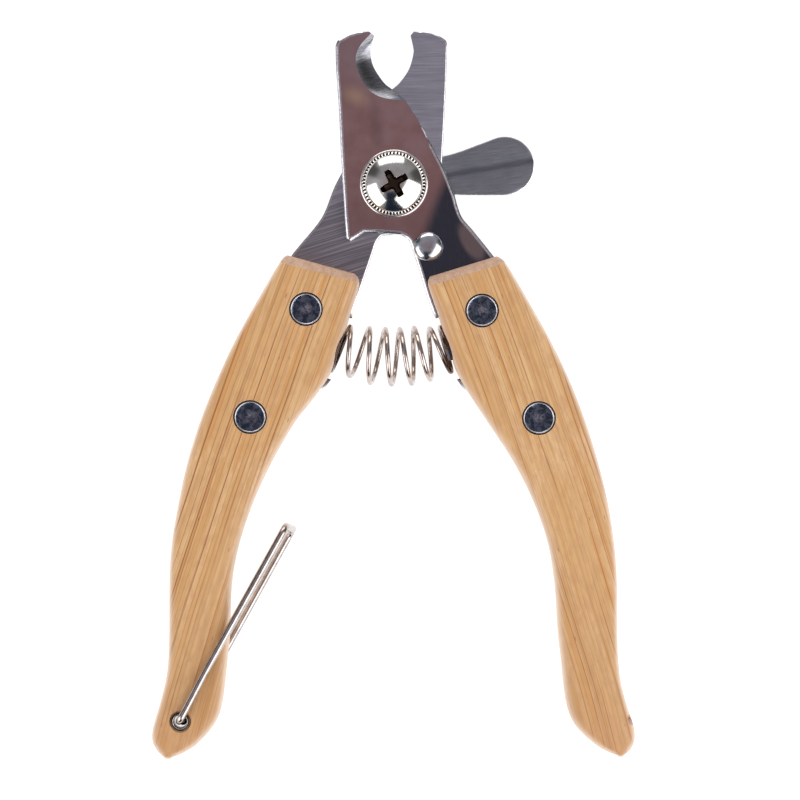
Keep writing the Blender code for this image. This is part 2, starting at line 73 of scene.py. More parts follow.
# ---------------------------------------------------------------- dimensions, as in the CAD
HANDLE_MID_Z = 7.5
HANDLE_HALF = 7.5
TAIL_HALF = 5.6
TAPER_FROM, TAPER_TO = -50.0, -63.0
END_CHAMFER = 2.2
REAR_Z = (5.2, 7.4)
FRONT_Z = (7.6, 9.8)
GUARD_Z = (4.2, 5.0)
WAVE_Z = 3.78
NUT_Z = (0.2, 3.3)
WASHER_Z = (9.95, 11.0)
HEAD_Z = 11.15
HEAD_TOP = 13.7
PIVOT_R = 3.0
PIVOT_HOLE_R = 3.3
SLOT_GAP = 0.3
STOP = (7.1, -13.0)
RIVETS = {
    "left_upper": (-18.1, -25.9),
    "left_lower": (-29.6, -48.1),
    "right_upper": (18.1, -26.2),
    "right_lower": (29.8, -48.3),
}
SPRING_ARC = 35.7
SPRING_R = 5.7
WIRE_R = 0.5
LEFT_SEAT, RIGHT_SEAT = 20.9, 19.3
SEAT_HOLE_R = 6.6
EYELET = (-44.0, -110.8)
BAIL_R = 0.75
BAIL_ANGLE = 61.0
BAIL_REACH = 46.5
BAIL_LEAN = (0.45, -1.0)

FRONT_EDGE = [(-4.1, 30.6), (-4.7, 28.3), (-4.8, 26.4), (-4.1, 23.9), (-2.1, 20.9),
              (-0.4, 19.5), (2.3, 17.2)]
FRONT_GRIND = [(-4.7, 31.0), (-7.0, 28.4), (-7.9, 25.8), (-7.2, 22.6), (-5.1, 19.3),
               (-2.2, 17.7), (2.3, 17.1)]
REAR_EDGE = [(3.4, 30.6), (3.9, 28.4), (4.0, 26.9), (3.1, 23.7), (1.2, 20.9),
             (-0.5, 19.4), (-3.1, 17.2)]
REAR_GRIND = [(4.0, 31.1), (6.2, 28.4), (7.1, 25.8), (6.4, 22.6), (4.3, 19.3),
              (1.4, 17.7), (-3.1, 17.1)]
LEFT_OUTER = [(-22.0, -14.8), (-23.5, -16.3), (-28.2, -24.3), (-32.8, -32.6), (-36.6, -40.8),
              (-39.9, -49.1), (-42.5, -57.4), (-44.3, -65.6), (-45.7, -73.9), (-46.2, -82.0),
              (-46.3, -94.0), (-46.7, -100.7), (-48.0, -106.5), (-49.6, -112.0),
              (-49.8, -114.6), (-49.2, -116.2), (-48.3, -117.4), (-47.4, -118.15)]
LEFT_INNER = [(-8.1, -18.6), (-7.2, -20.9), (-9.5, -28.5), (-11.5, -34.7), (-13.5, -39.8),
              (-17.0, -44.8), (-20.4, -49.1), (-25.2, -57.4), (-29.0, -65.6), (-31.8, -73.9),
              (-33.4, -82.1), (-33.8, -92.0), (-34.4, -98.6), (-35.4, -106.9), (-36.9, -111.2),
              (-40.4, -115.3), (-43.3, -117.25), (-45.9, -118.3)]
RIGHT_OUTER = [(21.2, -15.0), (23.1, -16.6), (27.7, -24.3), (32.3, -32.6), (36.2, -40.8),
               (39.4, -49.1), (42.0, -57.4), (44.0, -65.6), (45.3, -73.9), (45.9, -82.0),
               (46.0, -94.0), (46.6, -102.0), (48.1, -108.0), (49.3, -111.5), (49.6, -114.3),
               (49.0, -116.2), (48.2, -117.2), (47.3, -117.8)]
RIGHT_INNER = [(7.4, -19.2), (7.1, -21.2), (9.4, -28.0), (11.4, -34.7), (13.4, -39.8),
               (16.7, -45.2), (19.3, -49.1), (24.7, -57.4), (28.8, -65.6), (31.7, -73.9),
               (33.1, -82.1), (33.8, -92.0), (34.5, -98.6), (35.5, -106.9), (37.3, -111.5),
               (41.0, -115.15), (43.6, -116.85), (46.1, -117.85)]


# ---------------------------------------------------------------- geometry helpers
def polar(r, deg):
    """A point at radius r from the pivot, deg to the right of straight down."""
    a = math.radians(deg)
    return (r * math.sin(a), -r * math.cos(a))


def step(a, b, x):
    t = min(max((x - a) / (b - a), 0.0), 1.0)
    return t * t * (3 - 2 * t)


def smooth(points, per=3):
    """A Catmull-Rom curve through the points, with per steps between two of them."""
    out = []
    n = len(points)
    for i in range(n - 1):
        p0, p1, p2, p3 = (
            points[max(i - 1, 0)], points[i], points[i + 1], points[min(i + 2, n - 1)],
        )
        for k in range(per):
            t = k / per
            out.append(tuple(
                0.5 * (2 * b + (c - a) * t + (2 * a - 5 * b + 4 * c - d) * t * t
                       + (3 * b - a - 3 * c + d) * t ** 3)
                for a, b, c, d in zip(p0, p1, p2, p3)))
    out.append(tuple(points[-1]))
    return out


def resample(points, distances):
    """Points along a polyline at the given fractions of its length."""
    lengths = [0.0]
    for a, b in zip(points, points[1:]):
        lengths.append(lengths[-1] + math.dist(a, b))
    out, i = [], 0
    for f in distances:
        s = f * lengths[-1]
        while i < len(points) - 2 and lengths[i + 1] <= s + 1e-9:
            i += 1
        t = (s - lengths[i]) / (lengths[i + 1] - lengths[i])
        out.append(tuple(a + (b - a) * t for a, b in zip(points[i], points[i + 1])))
    return out


def area(outline):
    return sum(a[0] * b[1] - b[0] * a[1] for a, b in zip(outline, outline[1:] + outline[:1])) / 2


def offset(outline, d):
    """A closed anticlockwise outline moved outwards by d, one number or one for each point."""
    n = len(outline)
    dist = d if isinstance(d, (list, tuple)) else [d] * n
    out = []
    for i in range(n):
        (x0, y0), (x1, y1), (x2, y2) = outline[i - 1], outline[i], outline[(i + 1) % n]
        a, b = Vector((x1 - x0, y1 - y0)).normalized(), Vector((x2 - x1, y2 - y1)).normalized()
        m = Vector((a.y, -a.x)) + Vector((b.y, -b.x))
        m = m / max(m.length_squared / 2, 0.6)
        out.append((x1 + dist[i] * m.x, y1 + dist[i] * m.y))
    return out


def cap(bm, ring, mat=0):
    """Fills a ring of vertices: a level outline with triangles inside it, any other as one face."""
    if max(v.co.z for v in ring) - min(v.co.z for v in ring) > 1e-6 or len(ring) < 13:
        bm.faces.new(ring).material_index = mat
        return
    n = len(ring)
    flat = [v.co.to_2d() for v in ring]
    turn = 1 if area([tuple(p) for p in flat]) > 0 else -1
    order = list(range(n))[::turn]
    made = delaunay_2d_cdt([flat[i] for i in order], [(i, (i + 1) % n) for i in range(n)], [],
                           1, 1e-7)
    for a, b, c in made[2]:
        face = [ring[order[made[3][i][0]]] for i in (a, b, c)]
        bm.faces.new(face[::turn]).material_index = mat


def loft(bm, rings, close=True, mats=None, cap_mat=0):
    """Bridges rings of equal counts and caps both ends. mats gives a face's material index
    from its ring and its place in the ring."""
    verts = [[bm.verts.new(p) for p in ring] for ring in rings]
    n = len(verts[0])
    for k, (a, b) in enumerate(zip(verts, verts[1:])):
        for i in range(n):
            j = (i + 1) % n
            f = bm.faces.new((a[i], a[j], b[j], b[i]))
            if mats:
                f.material_index = mats(k, i)
    if close:
        cap(bm, verts[0][::-1], cap_mat)
        cap(bm, verts[-1], cap_mat)
    return verts


def turned(centre, profile, sides=64, mats=None):
    """A solid of revolution about a Z axis. The profile is a closed run of (radius, z)
    points; radius 0 at both ends makes it solid."""
    bm = bmesh.new()
    solid = profile[0][0] == 0
    body = profile[1:-1] if solid else profile
    rings = [[bm.verts.new((centre[0] + r * math.cos(TAU * k / sides),
                            centre[1] + r * math.sin(TAU * k / sides), z))
              for k in range(sides)] for r, z in body]
    pairs = list(zip(rings, rings[1:])) + ([] if solid else [(rings[-1], rings[0])])
    for i, (a, b) in enumerate(pairs):
        for k in range(sides):
            j = (k + 1) % sides
            f = bm.faces.new((a[k], a[j], b[j], b[k]))
            if mats:
                f.material_index = mats[min(i + 1, len(mats) - 1)] if solid else mats[i]
    if solid:
        for which, (ring, (_, z)) in enumerate(((rings[0], profile[0]), (rings[-1], profile[-1]))):
            tip = bm.verts.new((centre[0], centre[1], z))
            for k in range(sides):
                f = bm.faces.new((ring[k], ring[(k + 1) % sides], tip))
                if mats:
                    f.material_index = mats[0] if which == 0 else mats[-1]
    return bm


def sweep(path, r, sides, round_ends=True):
    """A round wire along a path, with slightly domed ends. The vertices come ring by ring."""
    bm = bmesh.new()
    pts = [Vector(p) for p in path]
    tangents = []
    for i in range(len(pts)):
        t = pts[min(i + 1, len(pts) - 1)] - pts[max(i - 1, 0)]
        tangents.append(t.normalized())
    radii = [r] * len(pts)
    if round_ends:
        head = [(pts[0] - tangents[0] * r * 0.35 * s, r * f) for s, f in ((1, 0.35), (0.8, 0.75))]
        foot = [(pts[-1] + tangents[-1] * r * 0.35 * s, r * f)
                for s, f in ((0.8, 0.75), (1, 0.35))]
        pts = [p for p, _ in head] + pts + [p for p, _ in foot]
        radii = [q for _, q in head] + radii + [q for _, q in foot]
        tangents = [tangents[0]] * 2 + tangents + [tangents[-1]] * 2
    normal = tangents[0].orthogonal().normalized()
    rings = []
    for p, t, q in zip(pts, tangents, radii):
        normal = (normal - t * normal.dot(t)).normalized()
        side = t.cross(normal)
        rings.append([p + q * (math.cos(TAU * k / sides) * normal
                               + math.sin(TAU * k / sides) * side) for k in range(sides)])
    loft(bm, rings, close=False)
    bm.verts.ensure_lookup_table()
    n = len(bm.verts)
    bm.faces.new([bm.verts[k] for k in range(sides)][::-1])
    bm.faces.new([bm.verts[n - sides + k] for k in range(sides)])
    return bm, len(rings)


def to_object(name, bm, mats=()):
    bmesh.ops.scale(bm, vec=(MM, MM, MM), verts=bm.verts)
    bmesh.ops.recalc_face_normals(bm, faces=bm.faces)
    mesh = bpy.data.meshes.new(name)
    bm.to_mesh(mesh)
    bm.free()
    for m in mats:
        mesh.materials.append(m)
    obj = bpy.data.objects.new(name, mesh)
    bpy.context.scene.collection.objects.link(obj)
    return obj


def carve(obj, tools):
    """Cuts bmeshes, in millimetres, out of an object, and keeps the result as its mesh."""
    cutters = [to_object("cutter", bm) for bm in tools]
    for tool in cutters:
        mod = obj.modifiers.new("carve", "BOOLEAN")
        mod.operation = "DIFFERENCE"
        mod.solver = "EXACT"
        mod.object = tool
    apply_modifiers(obj)
    for tool in cutters:
        mesh = tool.data
        bpy.data.objects.remove(tool, do_unlink=True)
        bpy.data.meshes.remove(mesh)
    return obj


def apply_modifiers(obj):
    bpy.context.view_layer.update()
    shape = bpy.data.meshes.new_from_object(
        obj.evaluated_get(bpy.context.evaluated_depsgraph_get()))
    obj.modifiers.clear()
    old_mesh = obj.data
    obj.data = shape
    shape.name = obj.name
    bpy.data.meshes.remove(old_mesh)


def shade(obj, sharp=35.0, weighted=False):
    obj.data.shade_smooth()
    obj.data.set_sharp_from_angle(angle=math.radians(sharp))
    if weighted:
        mod = obj.modifiers.new("normals", "WEIGHTED_NORMAL")
        mod.keep_sharp = True
        apply_modifiers(obj)


def place(obj, body, nodes, sharp=35.0, weighted=False):
    """Shades a piece, puts it on its body and lets it stand for its CAD nodes."""
    shade(obj, sharp, weighted)
    if body:
        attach(obj, body)
    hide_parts(*nodes)
    return obj


# ---------------------------------------------------------------- material helpers
def rgb(r, g, b):
    """A colour given as 0-255 display values, as linear light."""
    def lin(c):
        c /= 255
        return c / 12.92 if c <= 0.04045 else ((c + 0.055) / 1.055) ** 2.4
    return (lin(r), lin(g), lin(b), 1.0)


class Nodes:
    """A short way to write a node tree."""

    def __init__(self, tree):
        self.tree = tree
        for n in list(tree.nodes):
            tree.nodes.remove(n)

    def new(self, kind, ins=None, **props):
        n = self.tree.nodes.new(kind)
        for k, v in props.items():
            setattr(n, k, v)
        for k, v in (ins or {}).items():
            self.put(n, k, v)
        return n

    def put(self, n, key, v):
        sock = n.inputs[key]
        if isinstance(v, bpy.types.NodeSocket):
            self.tree.links.new(v, sock)
        else:
            sock.default_value = v

    def math(self, op, a, b=0.0, c=0.0, clamp=False):
        n = self.new("ShaderNodeMath", {0: a, 1: b, 2: c}, operation=op)
        n.use_clamp = clamp
        return n.outputs[0]

    def add(self, *terms):
        out = terms[0]
        for t in terms[1:]:
            out = self.math("ADD", out, t)
        return out

    def mul(self, *terms):
        out = terms[0]
        for t in terms[1:]:
            out = self.math("MULTIPLY", out, t)
        return out

    def span(self, v, a, b, lo=0.0, hi=1.0, soft=True):
        """v from a to b becomes lo to hi."""
        n = self.new("ShaderNodeMapRange", {"Value": v, "From Min": a, "From Max": b,
                                            "To Min": lo, "To Max": hi})
        n.interpolation_type = "SMOOTHSTEP" if soft else "LINEAR"
        return n.outputs[0]

    def mix(self, fac, a, b, blend="MIX"):
        n = self.new("ShaderNodeMix", data_type="RGBA", blend_type=blend)
        self.put(n, 0, fac)
        self.put(n, 6, a)
        self.put(n, 7, b)
        return n.outputs[2]

    def vec(self, x, y, z):
        return self.new("ShaderNodeCombineXYZ", {0: x, 1: y, 2: z}).outputs[0]

    def noise(self, vector, scale=1.0, detail=2.0, rough=0.5, distort=0.0):
        return self.new("ShaderNodeTexNoise", {"Vector": vector, "Scale": scale, "Detail": detail,
                                               "Roughness": rough, "Distortion": distort}
                        ).outputs[0]

    def ramp(self, fac, stops):
        n = self.new("ShaderNodeValToRGB", {0: fac})
        cr = n.color_ramp
        while len(cr.elements) < len(stops):
            cr.elements.new(1.0)
        for e, (p, c) in zip(cr.elements, stops):
            e.position = p
            e.color = c
        return n.outputs[0]

    def blob(self, x, y, cx, cy, rx, ry, lean=0.0):
        """1 at (cx, cy), falling to 0 at rx and ry away, along axes turned by lean degrees."""
        a = math.radians(lean)
        dx, dy = self.math("SUBTRACT", x, cx), self.math("SUBTRACT", y, cy)
        u = self.math("ADD", self.mul(dx, math.cos(a) / rx), self.mul(dy, math.sin(a) / rx))
        v = self.math("ADD", self.mul(dx, -math.sin(a) / ry), self.mul(dy, math.cos(a) / ry))
        d = self.math("SQRT", self.add(self.mul(u, u), self.mul(v, v)))
        return self.span(d, 1.0, 0.0)


def start_material(name):
    """A material's nodes, with object coordinates in millimetres and their three parts."""
    m = bpy.data.materials.new(name)
    m.use_nodes = True
    g = Nodes(m.node_tree)
    tc = g.new("ShaderNodeTexCoord")
    p = g.new("ShaderNodeVectorMath", {0: tc.outputs["Object"]}, operation="SCALE")
    p.inputs["Scale"].default_value = 1000.0
    xyz = g.new("ShaderNodeSeparateXYZ", {0: p.outputs[0]})
    nrm = g.new("ShaderNodeSeparateXYZ", {0: tc.outputs["Normal"]})
    return m, g, p.outputs[0], xyz.outputs, nrm.outputs


def end_material(g, colour, rough, metallic, height=None, depth=0.01, **sockets):
    """The shader and output. depth is the bump's height in millimetres."""
    ins = {"Base Color": colour, "Roughness": rough, "Metallic": metallic}
    ins.update({k.replace("_", " "): v for k, v in sockets.items()})
    if height is not None:
        ins["Normal"] = g.new("ShaderNodeBump", {"Height": height, "Distance": depth * MM,
                                                 "Strength": 1.0}).outputs[0]
    shader = g.new("ShaderNodeBsdfPrincipled", ins)
    g.new("ShaderNodeOutputMaterial", {"Surface": shader.outputs[0]})


# ---------------------------------------------------------------- materials
def bamboo(name, side, seed):
    """Bamboo with its fibres running in straight lines down and outwards. side is 1 for the
    handle on the right and -1 for the one on the left."""
    m, g, p, (x, y, z), (nx, ny, nz) = start_material(name)
    lean = math.radians(18.5)
    out = g.mul(x, float(side))
    v = g.math("SUBTRACT", g.mul(out, math.sin(lean)), g.mul(y, math.cos(lean)))
    u0 = g.add(g.mul(out, math.cos(lean)), g.mul(y, math.sin(lean)))
    bend = g.math("POWER", g.math("ABSOLUTE", g.math("SUBTRACT", v, 65.0)), 2.0)
    drift = g.noise(g.vec(g.mul(u0, 0.05), seed, g.mul(v, 0.03)), 1.0, 1.0)
    u = g.add(u0, g.mul(bend, 0.0005), g.mul(drift, 1.2))
    w = z

    tone = g.noise(g.vec(g.add(g.mul(u, 0.33), seed), g.mul(w, 0.16), g.mul(v, 0.004)), 1.0, 3.0,
                   0.6)
    tone2 = g.noise(g.vec(g.add(g.mul(u, 1.1), seed * 2), g.mul(w, 0.8), g.mul(v, 0.012)), 1.0,
                    2.0, 0.6)
    fibre = g.noise(g.vec(g.mul(u, 2.8), g.mul(w, 2.8), g.add(g.mul(v, 0.05), seed)), 1.0, 3.0,
                    0.7)
    mottle = g.noise(g.vec(g.mul(u, 0.9), g.mul(w, 0.9), g.add(g.mul(v, 0.35), seed)), 1.0, 3.0,
                     0.6)

    colour = g.ramp(tone, [(0.30, rgb(206, 152, 90)), (0.43, rgb(221, 172, 114)),
                           (0.57, rgb(231, 187, 133)), (0.72, rgb(214, 162, 98))])
    colour = g.mix(g.span(tone2, 0.42, 0.66, 0.0, 0.42), colour, rgb(245, 210, 162))
    colour = g.mix(g.span(mottle, 0.40, 0.66, 0.0, 0.42), colour, rgb(204, 154, 108))
    colour = g.mix(g.span(fibre, 0.30, 0.62, 0.26, 0.0), colour, rgb(206, 148, 88))

    # Wide orange streaks, and narrow dark lines between the bundles of fibres
    streak = g.noise(g.vec(g.add(g.mul(u, 1.25), seed * 3), g.mul(w, 0.25), g.mul(v, 0.007)),
                     1.0, 2.0, 0.5)
    colour = g.mix(g.span(streak, 0.57, 0.64, 0.0, 0.5), colour, rgb(222, 152, 78))
    lines = None
    for scale, shift, half, weight in ((0.30, seed, 0.13, 0.95), (0.50, seed * 5 + 3, 0.11, 0.75),
                                       (1.05, seed * 7 + 1, 0.10, 0.35)):
        cell = g.new("ShaderNodeTexVoronoi",
                     {"W": g.add(g.mul(u, scale), g.mul(w, 0.015), shift), "Scale": 1.0},
                     voronoi_dimensions="1D", feature="DISTANCE_TO_EDGE").outputs["Distance"]
        strength = g.span(g.noise(g.vec(g.mul(u, scale * 0.7), shift, g.mul(v, 0.02)), 1.0, 2.0),
                          0.38, 0.62, 0.10, weight)
        line = g.mul(g.span(cell, half * scale * 0.4, half * scale * 1.25, 1.0, 0.0), strength)
        lines = line if lines is None else g.math("MAXIMUM", lines, line)
    # The bundles' lines fade on the handle's sides, which follow the fibres
    flat_on = g.span(g.math("ABSOLUTE", nz), 0.25, 0.75, 0.22, 1.0)
    colour = g.mix(g.mul(lines, flat_on), colour, rgb(164, 96, 42))

    # Short dark dashes where a bundle comes to the surface
    dash = g.new("ShaderNodeTexVoronoi",
                 {"Vector": g.vec(g.mul(u, 1.0), g.mul(w, 1.0), g.mul(v, 0.22)), "Scale": 1.0},
                 voronoi_dimensions="3D", feature="F1")
    near = g.span(dash.outputs["Distance"], 0.07, 0.16, 1.0, 0.0)
    pick = g.new("ShaderNodeSeparateColor", {0: dash.outputs["Color"]}).outputs[0]
    near = g.mul(near, g.span(pick, 0.80, 0.86), 0.5)
    colour = g.mix(near, colour, rgb(110, 66, 34))

    # The sawn end, and a painted highlight on the rounded edges
    facing_end = g.add(g.mul(nx, -0.29 * side), g.mul(ny, 0.957))
    end = g.span(facing_end, 0.30, 0.55)
    facing_tail = g.add(g.mul(nx, math.sin(lean) * side), g.mul(ny, -math.cos(lean)))
    tail = g.mul(g.span(facing_tail, 0.35, 0.75), g.span(y, -108.0, -114.0))
    dots = g.new("ShaderNodeTexVoronoi", {"Vector": g.vec(g.mul(u, 2.6), g.mul(w, 2.6), 0.0),
                                          "Scale": 1.0}, voronoi_dimensions="3D", feature="F1")
    dots = g.span(dots.outputs["Distance"], 0.12, 0.38, 0.75, 0.0)
    end_colour = g.mix(g.mul(dots, 0.75), g.mix(g.span(mottle, 0.3, 0.7), rgb(226, 190, 162),
                                                rgb(210, 168, 138)), rgb(166, 116, 86))
    colour = g.mix(end, colour, end_colour)
    colour = g.mix(g.mul(g.span(y, -68.0, -104.0), 0.24), colour, rgb(190, 140, 94))
    colour = g.mix(g.mul(g.span(y, -104.0, -116.0), 0.35), colour, rgb(206, 150, 104))
    specks = g.span(g.noise(g.vec(g.mul(u, 2.2), g.mul(w, 2.2), g.mul(v, 0.3)), 1.0, 2.0, 0.6),
                    0.52, 0.62)
    colour = g.mix(g.mul(tail, specks, 0.8), colour, rgb(140, 84, 40))
    # Painted highlight: the rounded edges turn paler the more they face sideways
    edge = g.span(g.math("ABSOLUTE", nz), 0.96, 0.45)
    edge = g.mul(edge, g.math("SUBTRACT", 1.0, end), 0.62)
    colour = g.mix(edge, colour, rgb(250, 228, 208))
    if side > 0:
        # Painted shade in the nick in the tail's outer edge
        dx, dy = g.math("SUBTRACT", x, 49.2), g.math("SUBTRACT", y, -110.2)
        away = g.math("SQRT", g.add(g.mul(dx, dx), g.mul(dy, dy, 0.6)))
        painted_nick_shade = g.mul(g.span(away, 1.25, 0.85, 0.0, 0.6), g.span(z, 9.0, 10.8))
        colour = g.mix(painted_nick_shade, colour, rgb(142, 104, 106))
    # Painted shade inside the counterbores, round the rivet heads
    for at in RIVETS.values():
        if at[0] * side > 0:
            dx, dy = g.math("SUBTRACT", x, at[0]), g.math("SUBTRACT", y, at[1])
            away = g.math("SQRT", g.add(g.mul(dx, dx), g.mul(dy, dy)))
            colour = g.mix(g.span(away, 3.52, 3.45, 0.0, 0.92), colour, rgb(44, 26, 16))

    rough = g.add(0.40, g.mul(fibre, 0.12), g.mul(lines, 0.12), g.mul(end, 0.12))
    height = g.math("SUBTRACT", g.mul(fibre, 0.5), g.add(g.mul(lines, 0.5), g.mul(near, 0.6),
                                                         g.mul(end, dots, 0.6)))
    end_material(g, colour, rough, 0.0, height, 0.018, IOR=1.48)
    m.node_tree.nodes["Principled BSDF"].inputs["Coat Weight"].default_value = 0.12
    m.node_tree.nodes["Principled BSDF"].inputs["Coat Roughness"].default_value = 0.28
    return m


def front_steel():
    """Mirror-polished stamped steel, its colour carrying painted reflections: a warm tint, paler and
    darker spots, and a deep blue-grey reflection over its tang.
    """
    m, g, p, (x, y, z), _ = start_material("front_steel")
    cloud = g.noise(p, 0.16, 3.0, 0.55)
    # Painted reflections: a warm tint, bluer towards the jaw's tip, a pale gold spot, a darker streak
    # and a darkening towards the tang
    colour = g.mix(g.span(cloud, 0.35, 0.68), rgb(192, 160, 160), rgb(206, 178, 182))
    colour = g.mix(g.mul(g.span(y, 12.0, 29.0), 0.5), colour, rgb(196, 186, 200))
    colour = g.mix(g.mul(g.blob(x, y, -7.9, 18.0, 4.2, 2.8, -25), 0.80), colour,
                   rgb(236, 214, 186))
    colour = g.mix(g.mul(g.blob(x, y, -3.6, 12.0, 2.2, 7.5, 4), 0.38), colour, rgb(140, 122, 126))
    colour = g.mix(g.span(y, 4.0, -11.0, 0.0, 0.45), colour, rgb(160, 132, 132))
    # Painted reflection over the tang: deep blue-grey, with a paler spot in it
    across = g.add(g.mul(x, 0.938), g.mul(y, -0.348), g.mul(cloud, 1.2), -9.3)
    tang = g.span(across, -1.0, 2.2)
    painted_reflection_spot = g.span(g.blob(x, y, 16.0, -12.0, 3.0, 6.5, 30), 0.05, 0.55)
    painted_dark_reflection = g.mix(painted_reflection_spot, rgb(84, 92, 108), rgb(158, 148, 152))
    colour = g.mix(tang, colour, painted_dark_reflection)
    haze = g.noise(g.vec(g.mul(x, 0.9), g.mul(y, 0.12), g.mul(z, 0.9)), 1.6, 4.0, 0.65)
    scratch = g.noise(g.vec(g.mul(x, 9.0), g.mul(y, 0.35), 0.0), 1.0, 3.0, 0.7)
    colour = g.mix(g.span(scratch, 0.55, 0.75, 0.0, 0.14), colour, rgb(225, 215, 215))
    rough = g.add(0.15, g.mul(haze, 0.09), g.span(scratch, 0.55, 0.8, 0.0, 0.08))
    end_material(g, colour, rough, 1.0, g.add(g.mul(scratch, 0.4), g.mul(cloud, 0.3)), 0.004)
    return m


def rear_steel():
    """Brushed steel. The marks are level at the jaw and rise to the right across the tang."""
    m, g, p, (x, y, z), _ = start_material("rear_steel")
    slope = g.span(y, 6.0, -6.0, 0.02, 0.31)
    t = g.math("SUBTRACT", y, g.mul(x, slope))
    fine = g.noise(g.vec(g.mul(x, 0.16), g.mul(t, 7.0), z), 1.0, 4.0, 0.75)
    broad = g.noise(g.vec(g.mul(x, 0.07), g.mul(t, 1.7), z), 1.0, 3.0, 0.6)
    cloud = g.noise(p, 0.12, 2.0)
    colour = g.mix(g.span(fine, 0.30, 0.70), rgb(168, 174, 190), rgb(206, 210, 224))
    colour = g.mix(g.span(broad, 0.42, 0.62, 0.0, 0.35), colour, rgb(158, 160, 176))
    colour = g.mix(g.span(y, 2.0, -10.0, 0.0, 0.62), colour, rgb(150, 148, 156))
    colour = g.mix(g.span(cloud, 0.4, 0.7, 0.0, 0.2), colour, rgb(190, 188, 206))
    marks = g.noise(g.vec(g.mul(x, 0.05), g.mul(t, 3.2), 4.0), 1.0, 2.0, 0.5)
    tang = g.span(y, 1.0, -6.0)
    colour = g.mix(g.mul(g.span(marks, 0.46, 0.60), tang, 0.55), colour, rgb(112, 106, 112))
    colour = g.mix(g.mul(g.span(marks, 0.42, 0.34), tang, 0.5), colour, rgb(214, 208, 214))
    rough = g.add(0.27, g.mul(fine, 0.16))
    end_material(g, colour, rough, 1.0, g.add(fine, g.mul(broad, 0.5)), 0.006)
    return m


def guard_steel():
    m, g, p, (x, y, z), _ = start_material("guard_steel")
    t = g.math("SUBTRACT", y, g.mul(x, 0.17))
    fine = g.noise(g.vec(g.mul(x, 0.22), g.mul(t, 6.0), z), 1.0, 4.0, 0.7)
    cloud = g.noise(p, 0.22, 3.0, 0.6)
    colour = g.mix(g.span(fine, 0.3, 0.7), rgb(148, 158, 168), rgb(180, 190, 200))
    colour = g.mix(g.span(cloud, 0.4, 0.65, 0.0, 0.4), colour, rgb(146, 156, 170))
    # Painted shade: a darker band along the bend line
    crease = g.math("ABSOLUTE", g.math("SUBTRACT", t, 0.0))
    colour = g.mix(g.span(crease, 1.1, 0.15, 0.0, 0.55), colour, rgb(90, 96, 112))
    rough = g.add(0.24, g.mul(fine, 0.12))
    end_material(g, colour, rough, 1.0, fine, 0.004)
    return m


def edge_steel():
    """The sheared and tumbled edges of the stamped parts: bright, with marks across them."""
    m, g, p, (x, y, z), _ = start_material("edge_steel")
    marks = g.noise(g.vec(g.mul(x, 2.6), g.mul(y, 2.6), g.mul(z, 0.25)), 1.0, 3.0, 0.6)
    colour = g.mix(g.span(marks, 0.35, 0.65), rgb(206, 204, 210), rgb(236, 234, 238))
    # Painted shade on the edges round the spring seats, where the tangs run into the handles
    painted_seat_shade = g.mul(g.span(y, -26.0, -28.0), g.span(y, -43.0, -41.0))
    colour = g.mix(g.mul(painted_seat_shade, 0.85), colour, rgb(70, 60, 58))
    end_material(g, colour, g.add(0.16, g.mul(marks, 0.12), g.mul(painted_seat_shade, 0.2)), 1.0, marks, 0.006)
    return m


def grind_steel():
    """The hollow-ground bevels of the jaw, with grinding marks across them."""
    m, g, p, (x, y, z), _ = start_material("grind_steel")
    fine = g.noise(g.vec(g.mul(x, 0.5), g.mul(g.math("SUBTRACT", y, g.mul(x, 0.25)), 6.5), 0.0),
                   1.0, 4.0, 0.7)
    cross = g.noise(g.vec(g.mul(g.add(x, y), 5.0), g.mul(g.math("SUBTRACT", y, x), 0.4), 0.0),
                    1.0, 2.0, 0.6)
    colour = g.mix(g.span(fine, 0.35, 0.65), rgb(140, 140, 147), rgb(208, 208, 214))
    colour = g.mix(g.span(cross, 0.55, 0.7, 0.0, 0.35), colour, rgb(236, 236, 240))
    # Painted reflection: a darker band across the ground face
    painted_dark_reflection = g.mul(g.span(g.add(y, g.mul(x, -0.35)), 27.9, 27.3), g.span(y, 18.6, 20.0), 0.85)
    colour = g.mix(painted_dark_reflection, colour, g.mix(g.span(fine, 0.35, 0.65), rgb(96, 98, 102),
                                       rgb(124, 124, 130)))
    end_material(g, colour, g.add(0.22, g.mul(fine, 0.14)), 1.0, g.add(fine, g.mul(cross, 0.5)),
                 0.008)
    return m


def nickel(name="nickel", tint=(222, 218, 212), low=0.07, mottle=0.35):
    """Bright nickel plate, faintly uneven, with a little tarnish in its cloudy patches."""
    m, g, p, (x, y, z), _ = start_material(name)
    cloud = g.noise(p, mottle, 3.0, 0.6)
    pits = g.noise(p, 4.5, 2.0, 0.5)
    colour = g.mix(g.span(cloud, 0.42, 0.72), (*rgb(*tint)[:3], 1),
                   rgb(*(c * 0.88 for c in tint)))
    colour = g.mix(g.span(pits, 0.66, 0.74, 0.0, 0.5), colour, rgb(150, 142, 132))
    end_material(g, colour, g.add(low, g.mul(cloud, 0.07)), 1.0,
                 g.add(g.mul(cloud, 0.6), g.mul(pits, 0.4)), 0.006)
    return m


